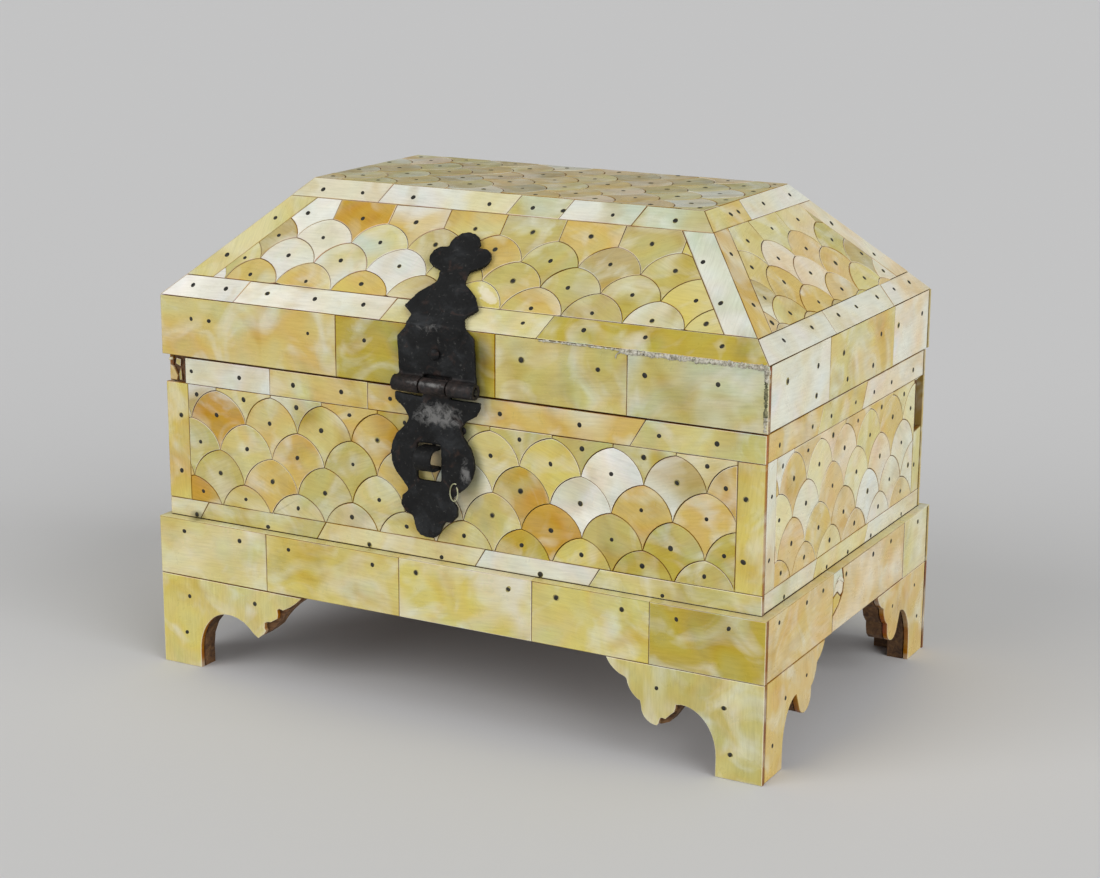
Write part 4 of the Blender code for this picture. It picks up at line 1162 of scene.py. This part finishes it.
# Pins and nails
def pin_tree():
    """Sets a small flattened head on every point, facing along the point's own outward direction."""
    tree = bpy.data.node_groups.new("pin_heads", "GeometryNodeTree")
    inputs = {
        "Places": "Geometry",
        "Radius": "Float",
        "Height": "Float",
        "Unevenness": "Float",
        "Sides": "Int",
        "Seed": "Int",
        "Finish": "Material",
    }
    for name, kind in inputs.items():
        tree.interface.new_socket(name=name, in_out="INPUT", socket_type="NodeSocket" + kind)
    tree.interface.new_socket(name="Heads", in_out="OUTPUT", socket_type="NodeSocketGeometry")
    given = tree.nodes.new("NodeGroupInput").outputs
    head = add_node(tree, "GeometryNodeMeshUVSphere", {"Segments": given["Sides"], "Rings": 6, "Radius": 1.0})
    size = {"X": given["Radius"], "Y": given["Radius"], "Z": given["Height"]}
    size = add_node(tree, "ShaderNodeCombineXYZ", size)
    flat = {"Geometry": head.outputs["Mesh"], "Scale": size.outputs[0]}
    flat = add_node(tree, "GeometryNodeTransform", flat)
    outward = add_node(tree, "GeometryNodeInputNamedAttribute", {"Name": "outward"}, data_type="FLOAT_VECTOR")
    facing = add_node(tree, "FunctionNodeAlignRotationToVector", {"Vector": outward.outputs[0]}, axis="Z")
    spin = add_node(tree, "FunctionNodeRandomValue", {"Seed": given["Seed"]}, data_type="FLOAT_VECTOR")
    spin.inputs["Min"].default_value = (0, 0, 0)
    spin.inputs["Max"].default_value = (0, 0, 6.28)
    turned = add_node(
        tree,
        "FunctionNodeRotateRotation",
        {"Rotation": facing.outputs[0], "Rotate By": spin.outputs["Value"]},
        rotation_space="LOCAL",
    )
    low = math_of(tree, "SUBTRACT", 1.0, given["Unevenness"])
    high = math_of(tree, "ADD", 1.0, given["Unevenness"])
    least = add_node(tree, "ShaderNodeCombineXYZ", {"X": low, "Y": low, "Z": 1.0})
    most = add_node(tree, "ShaderNodeCombineXYZ", {"X": high, "Y": high, "Z": 1.0})
    sizes = add_node(
        tree,
        "FunctionNodeRandomValue",
        {"Min": least.outputs[0], "Max": most.outputs[0], "Seed": given["Seed"]},
        data_type="FLOAT_VECTOR",
    )
    placed = add_node(
        tree,
        "GeometryNodeInstanceOnPoints",
        {
            "Points": given["Places"],
            "Instance": flat.outputs[0],
            "Rotation": turned.outputs[0],
            "Scale": sizes.outputs["Value"],
        },
    )
    real = add_node(tree, "GeometryNodeRealizeInstances", {"Geometry": placed.outputs[0]})
    done = {"Geometry": real.outputs[0], "Material": given["Finish"]}
    done = add_node(tree, "GeometryNodeSetMaterial", done)
    out = tree.nodes.new("NodeGroupOutput")
    tree.links.new(done.outputs[0], out.inputs["Heads"])
    return tree


def set_heads(name, body, places, tree, values):
    """One piece of heads for one body, from a list of (place, outward direction)."""
    mesh = bpy.data.meshes.new(name + "_places")
    mesh.from_pydata([place for place, _ in places], [], [])
    outward = mesh.attributes.new("outward", "FLOAT_VECTOR", "POINT")
    for i, (_, direction) in enumerate(places):
        outward.data[i].vector = direction
    holder = put_in_scene(name + "_places", mesh)
    step = holder.modifiers.new("Heads", "NODES")
    step.node_group = tree
    for item in tree.interface.items_tree:
        if item.in_out == "INPUT" and item.name in values:
            step[item.identifier] = values[item.name]
    made = made_real(holder)
    bpy.data.objects.remove(holder)
    made.name = name
    made.shade_smooth()
    piece = put_in_scene(name, made)
    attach(piece, body)


def head_values(radius, height, unevenness, sides, seed, finish):
    names = ("Radius", "Height", "Unevenness", "Sides", "Seed", "Finish")
    return dict(zip(names, (radius, height, unevenness, sides, seed, finish)))


# The nails of the back hinges, two in each strap, and the one at the front beside the hasp's waist
hinge_aside = 0.058
lid_nail_levels = (0.1130, 0.1030)
body_nail_levels = (0.0885, 0.0775)
front_nail = Vector((0.0062, -0.0620, 0.0876))


def add_pins():
    tree = pin_tree()
    for body, places in pin_places.items():
        values = head_values(pin_radius, 0.00016, 0.16, 10, 5, pin_metal)
        set_heads(f"{body}_pins", body, places, tree, values)
        lower = [(place - outward * 0.00004, outward) for place, outward in places]
        values = head_values(0.00092, 0.00012, 0.2, 12, 9, pin_stain)
        set_heads(f"{body}_pin_stains", body, lower, tree, values)
    backward = Vector((0, 1, 0))
    nails = {"lid": [], "base": []}
    for x in (-hinge_aside, hinge_aside):
        nails["lid"] += [(Vector((x, 0.0642, level)), backward) for level in lid_nail_levels]
        nails["base"] += [(Vector((x, 0.0636, level)), backward) for level in body_nail_levels]
    nails["base"].append((front_nail, -backward))
    for body, places in nails.items():
        values = head_values(0.0012, 0.0005, 0.1, 12, 3, iron)
        set_heads(f"{body}_hinge_nails", body, places, tree, values)


# The iron
def share_of(places, point):
    """How far inside the nearest of these rounded places a point lies, each (centre, radii)."""
    best = 0.0
    for centre, radii in places:
        away = Vector([(point[k] - centre[k]) / radii[k] for k in range(3)]).length
        best = max(best, 1 - away)
    return best


def forge(name, body, voxel=0.00034, dent=0.00016, rounds=3, added=(), bare_and_highlight=(), brown=()):
    """The node's own shape with rounded edges, dents and pits, as hammered iron has."""
    mesh = nodes[name].data.copy()
    mesh.name = name + "_forged"
    bm = bmesh.new()
    bm.from_mesh(mesh)
    bmesh.ops.remove_doubles(bm, verts=bm.verts, dist=1e-6)
    for outline, front, back in added:
        add_prism(bm, [(x, front, z) for x, z in outline], [(x, back, z) for x, z in outline])
    bm.to_mesh(mesh)
    bm.free()
    piece = put_in_scene(name + "_forged", mesh)
    grid = piece.modifiers.new("Grid", "REMESH")
    grid.mode = "VOXEL"
    grid.voxel_size = voxel
    ease = piece.modifiers.new("Ease", "SMOOTH")
    ease.factor = 0.5
    ease.iterations = rounds
    made = made_real(piece)
    piece.modifiers.clear()
    piece.data = made
    bm = bmesh.new()
    bm.from_mesh(made)
    # How far each point lies in the worn places and in the painted highlight along the barrel, and in the
    # barrel's rust
    rubbed_and_highlight = bm.verts.layers.float.new("bare_and_highlight")
    rusted = bm.verts.layers.float.new("brown")
    for vert in bm.verts:
        vert[rubbed_and_highlight] = share_of(bare_and_highlight, vert.co)
        vert[rusted] = min(0.8, share_of(brown, vert.co) * 3)
        waves = noise.noise(vert.co * 260) * 0.5 + noise.noise(vert.co * 700) * 0.35
        pit = max(0.0, noise.noise(vert.co * 1100 + Vector((3, 1, 7))) - 0.28) * 1.6
        vert.co -= vert.normal * dent * (0.45 + waves * 0.9 + pit)
    bm.to_mesh(made)
    bm.free()
    made.name = name + "_forged"
    made.materials.clear()
    made.materials.append(iron)
    made.shade_smooth()
    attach(piece, body)
    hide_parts(name)


hasp_barrel = ((-0.0010, -0.0653, 0.1002), (0.0200, 0.0036, 0.0036))
strap_bend = ((-0.0030, -0.0630, 0.1168), (0.0150, 0.0035, 0.0030))
# Painted highlight along the top front of the barrel, laid on with the worn places
barrel_highlight = ((-0.0010, -0.0682, 0.1014), (0.0220, 0.0030, 0.0019))
leaf_top = ((-0.0005, -0.0640, 0.0920), (0.0190, 0.0040, 0.0086))
leaf_side = ((0.0085, -0.0640, 0.0760), (0.0040, 0.0040, 0.0100))
# The wedge of iron that closes the leaf's sloping shoulders to the barrel
shoulder = [(-0.0140, 0.0968), (-0.0130, 0.0940), (0.0120, 0.0930), (0.0132, 0.0948), (0.0136, 0.0971)]


def add_iron():
    forge("hasp_strap", "lid", rounds=7, bare_and_highlight=(strap_bend, barrel_highlight), brown=(hasp_barrel,))
    forge(
        "hasp_leaf",
        "hasp",
        rounds=6,
        added=((shoulder, -0.0645, -0.0634),),
        bare_and_highlight=(leaf_top, leaf_side, barrel_highlight),
        brown=(hasp_barrel,),
    )
    # Painted shade: a dark iron slab sunk into the shell behind the barrel, standing in for the shade seen
    # through the gaps beside the leaf's shoulders
    add_slabs(
        "strap_shade_backing",
        "lid",
        face_frame(0.0, lid_half.y, 0.0),
        [([(-13.2, 98.9), (11.0, 98.9), (11.0, 102.9), (-13.2, 102.9)], -0.26, -0.06)],
        iron,
    )
    forge("staple", "base", 0.00025, 0.00010)
    forge("hasp_rivet", "lid", 0.00018, 0.00010)
    for side in ("left", "right"):
        forge(f"hinge_{side}_lid_strap", "lid", 0.0004)
        forge(f"hinge_{side}_body_strap", "base", 0.0004)


def add_slabs(name, body, place, shapes, finish):
    """Flat bits on a face, each (outline, its top below the face, its back below the face) in millimetres."""
    bm = bmesh.new()
    for points, high, low in shapes:
        upper = [(x * mm, y * mm, -high * mm) for x, y in points]
        under = [(x * mm, y * mm, -low * mm) for x, y in points]
        add_prism(bm, upper, under)
    bmesh.ops.recalc_face_normals(bm, faces=bm.faces)
    bmesh.ops.transform(bm, matrix=place, verts=bm.verts)
    mesh = mesh_of(bm, name)
    mesh.materials.append(finish)
    piece = put_in_scene(name, mesh)
    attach(piece, body)


def tube_piece(name, body, points, radius, finish, wobble=0.0):
    """A thin rod along points, made a mesh."""
    curve = bpy.data.curves.new(name, "CURVE")
    curve.dimensions = "3D"
    curve.bevel_depth = radius
    curve.bevel_resolution = 2
    curve.use_fill_caps = True
    spline = curve.splines.new("POLY")
    spline.points.add(len(points) - 1)
    rng = random.Random(len(points))
    for point, place in zip(spline.points, points):
        point.co = (*place, 1)
        point.radius = 1 + rng.uniform(-wobble, wobble) + wobble * noise.noise(Vector(place) * 420)
    drawn = put_in_scene(name, curve)
    mesh = made_real(drawn)
    bpy.data.objects.remove(drawn)
    bm = bmesh.new()
    bm.from_mesh(mesh)
    bmesh.ops.remove_doubles(bm, verts=bm.verts, dist=1e-7)
    bmesh.ops.recalc_face_normals(bm, faces=bm.faces)
    bm.to_mesh(mesh)
    bm.free()
    mesh.name = name
    mesh.materials.clear()
    mesh.materials.append(finish)
    mesh.shade_smooth()
    piece = put_in_scene(name, mesh)
    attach(piece, body)


# Half the thickness of the filler where it is thin and where it is full
thin_bead = 0.00024
full_bead = 0.00078


def add_filler():
    """Crumbled white filler along the right end of the lid's front edge and down its corner."""
    rng = random.Random(4)
    thin = []
    for x in steps(0.0310, 0.0565, 70):
        level = wall_top_level - 0.00040 + rng.uniform(-0.1, 0.1) * mm
        thin.append(Vector((x, -lid_half.y + 0.00012, level)))
    tube_piece("edge_filler_thin", "lid", thin, thin_bead, filler, 0.6)
    along = []
    for x in steps(0.0560, lid_half.x - 0.0004, 240):
        rough = Vector((0, rng.uniform(-0.10, 0.10), rng.uniform(-0.16, 0.16))) * mm
        along.append(Vector((x, -lid_half.y + 0.00062, wall_top_level - 0.00075)) + rough)
    tube_piece("edge_filler", "lid", along, full_bead, filler, 0.28)
    curl = [(56.0, 115.9), (55.4, 115.6), (54.9, 115.0), (54.8, 114.2)]
    curl = [Vector((x * mm, -0.06245, z * mm)) for x, z in curl]
    tube_piece("edge_filler_curl", "lid", curl, 0.00026, filler, 0.3)
    spans = ((0.1165, 0.1126, filler), (0.1130, 0.1030, dark_filler), (0.1034, 0.0990, filler))
    for k, (high, low, finish) in enumerate(spans):
        down = []
        for z in steps(high, low, 50):
            x = lid_half.x - 0.00085 + rng.uniform(-0.06, 0.06) * mm
            down.append(Vector((x, -lid_half.y + 0.00066, z)))
        tube_piece(f"corner_filler_{k + 1}", "lid", down, full_bead, finish, 0.14)


def add_wire():
    """A loop of thin pale wire caught on the right edge of the hasp's waist."""
    centre = Vector((0.0050, -0.0650, 0.0700))
    points = []
    for degrees in steps(70, 405, 28):
        angle = math.radians(degrees)
        swing = Vector((math.cos(angle) * 0.0014, math.cos(angle * 0.5) * 0.0004, math.sin(angle) * 0.0025))
        points.append(centre + swing)
    tube_piece("caught_wire", "hasp", points, 0.00019, wire_metal)


def dress_nodes():
    """The finishes of the solids that are shown as they are."""
    for name, node in nodes.items():
        is_foot = name.startswith("foot_") and name.count("_") == 2
        is_wood = name in ("box", "lid") or name.endswith("_strip") or is_foot
        is_iron = "pin" in name or "hasp" in name
        for slot in node.material_slots:
            slot.material = wood if is_wood else iron if is_iron else shell


# The studio
def add_sun(name, toward, strength, spread):
    lamp = bpy.data.lights.new(name, "SUN")
    lamp.energy = strength
    lamp.angle = math.radians(spread)
    put_in_scene(name, lamp).rotation_euler = Vector(toward).to_track_quat("Z", "Y").to_euler()


def add_studio():
    bm = bmesh.new()
    bmesh.ops.create_grid(bm, x_segments=1, y_segments=1, size=9.0)
    mesh = mesh_of(bm, "floor")
    floor = put_in_scene("floor", mesh)
    made, _, shader = new_finish("pale_floor", 0.9)
    shader.inputs["Base Color"].default_value = (0.668, 0.668, 0.67, 1)
    shader.inputs["Specular IOR Level"].default_value = 0.0
    mesh.materials.append(made)
    add_sun("key", (-0.45, -0.75, 0.45), 1.17, 45)
    add_sun("fill", (0.85, -0.25, 0.35), 2.0, 60)
    world = bpy.data.worlds.new("studio")
    bpy.context.scene.world = world
    world.use_nodes = True
    background = world.node_tree.nodes["Background"]
    background.inputs["Color"].default_value = (1.0, 1.0, 1.0, 1)
    background.inputs["Strength"].default_value = 0.41
    bpy.context.scene.view_settings.view_transform = "Standard"


# The photograph's width and the distance of its lens, in its own dots
picture_width = 1100
lens_distance = 2268.4


def add_camera():
    lens = bpy.data.cameras.new("camera")
    lens.sensor_width = 36.0
    lens.lens = lens_distance / picture_width * 36.0
    camera = put_in_scene("camera", lens)
    camera.location = (0.32745, -0.59633, 0.24839)
    camera.rotation_euler = (math.radians(75.3315), math.radians(-0.1973), math.radians(28.7941))
    bpy.context.scene.camera = camera


for side in turns:
    add_body_shell(side)
    add_straight_rows(side)
    add_slope_shell(side)
add_top_shell()
add_foot_shells()
add_pins()
add_iron()
add_filler()
add_wire()
dress_nodes()
add_studio()
add_camera()
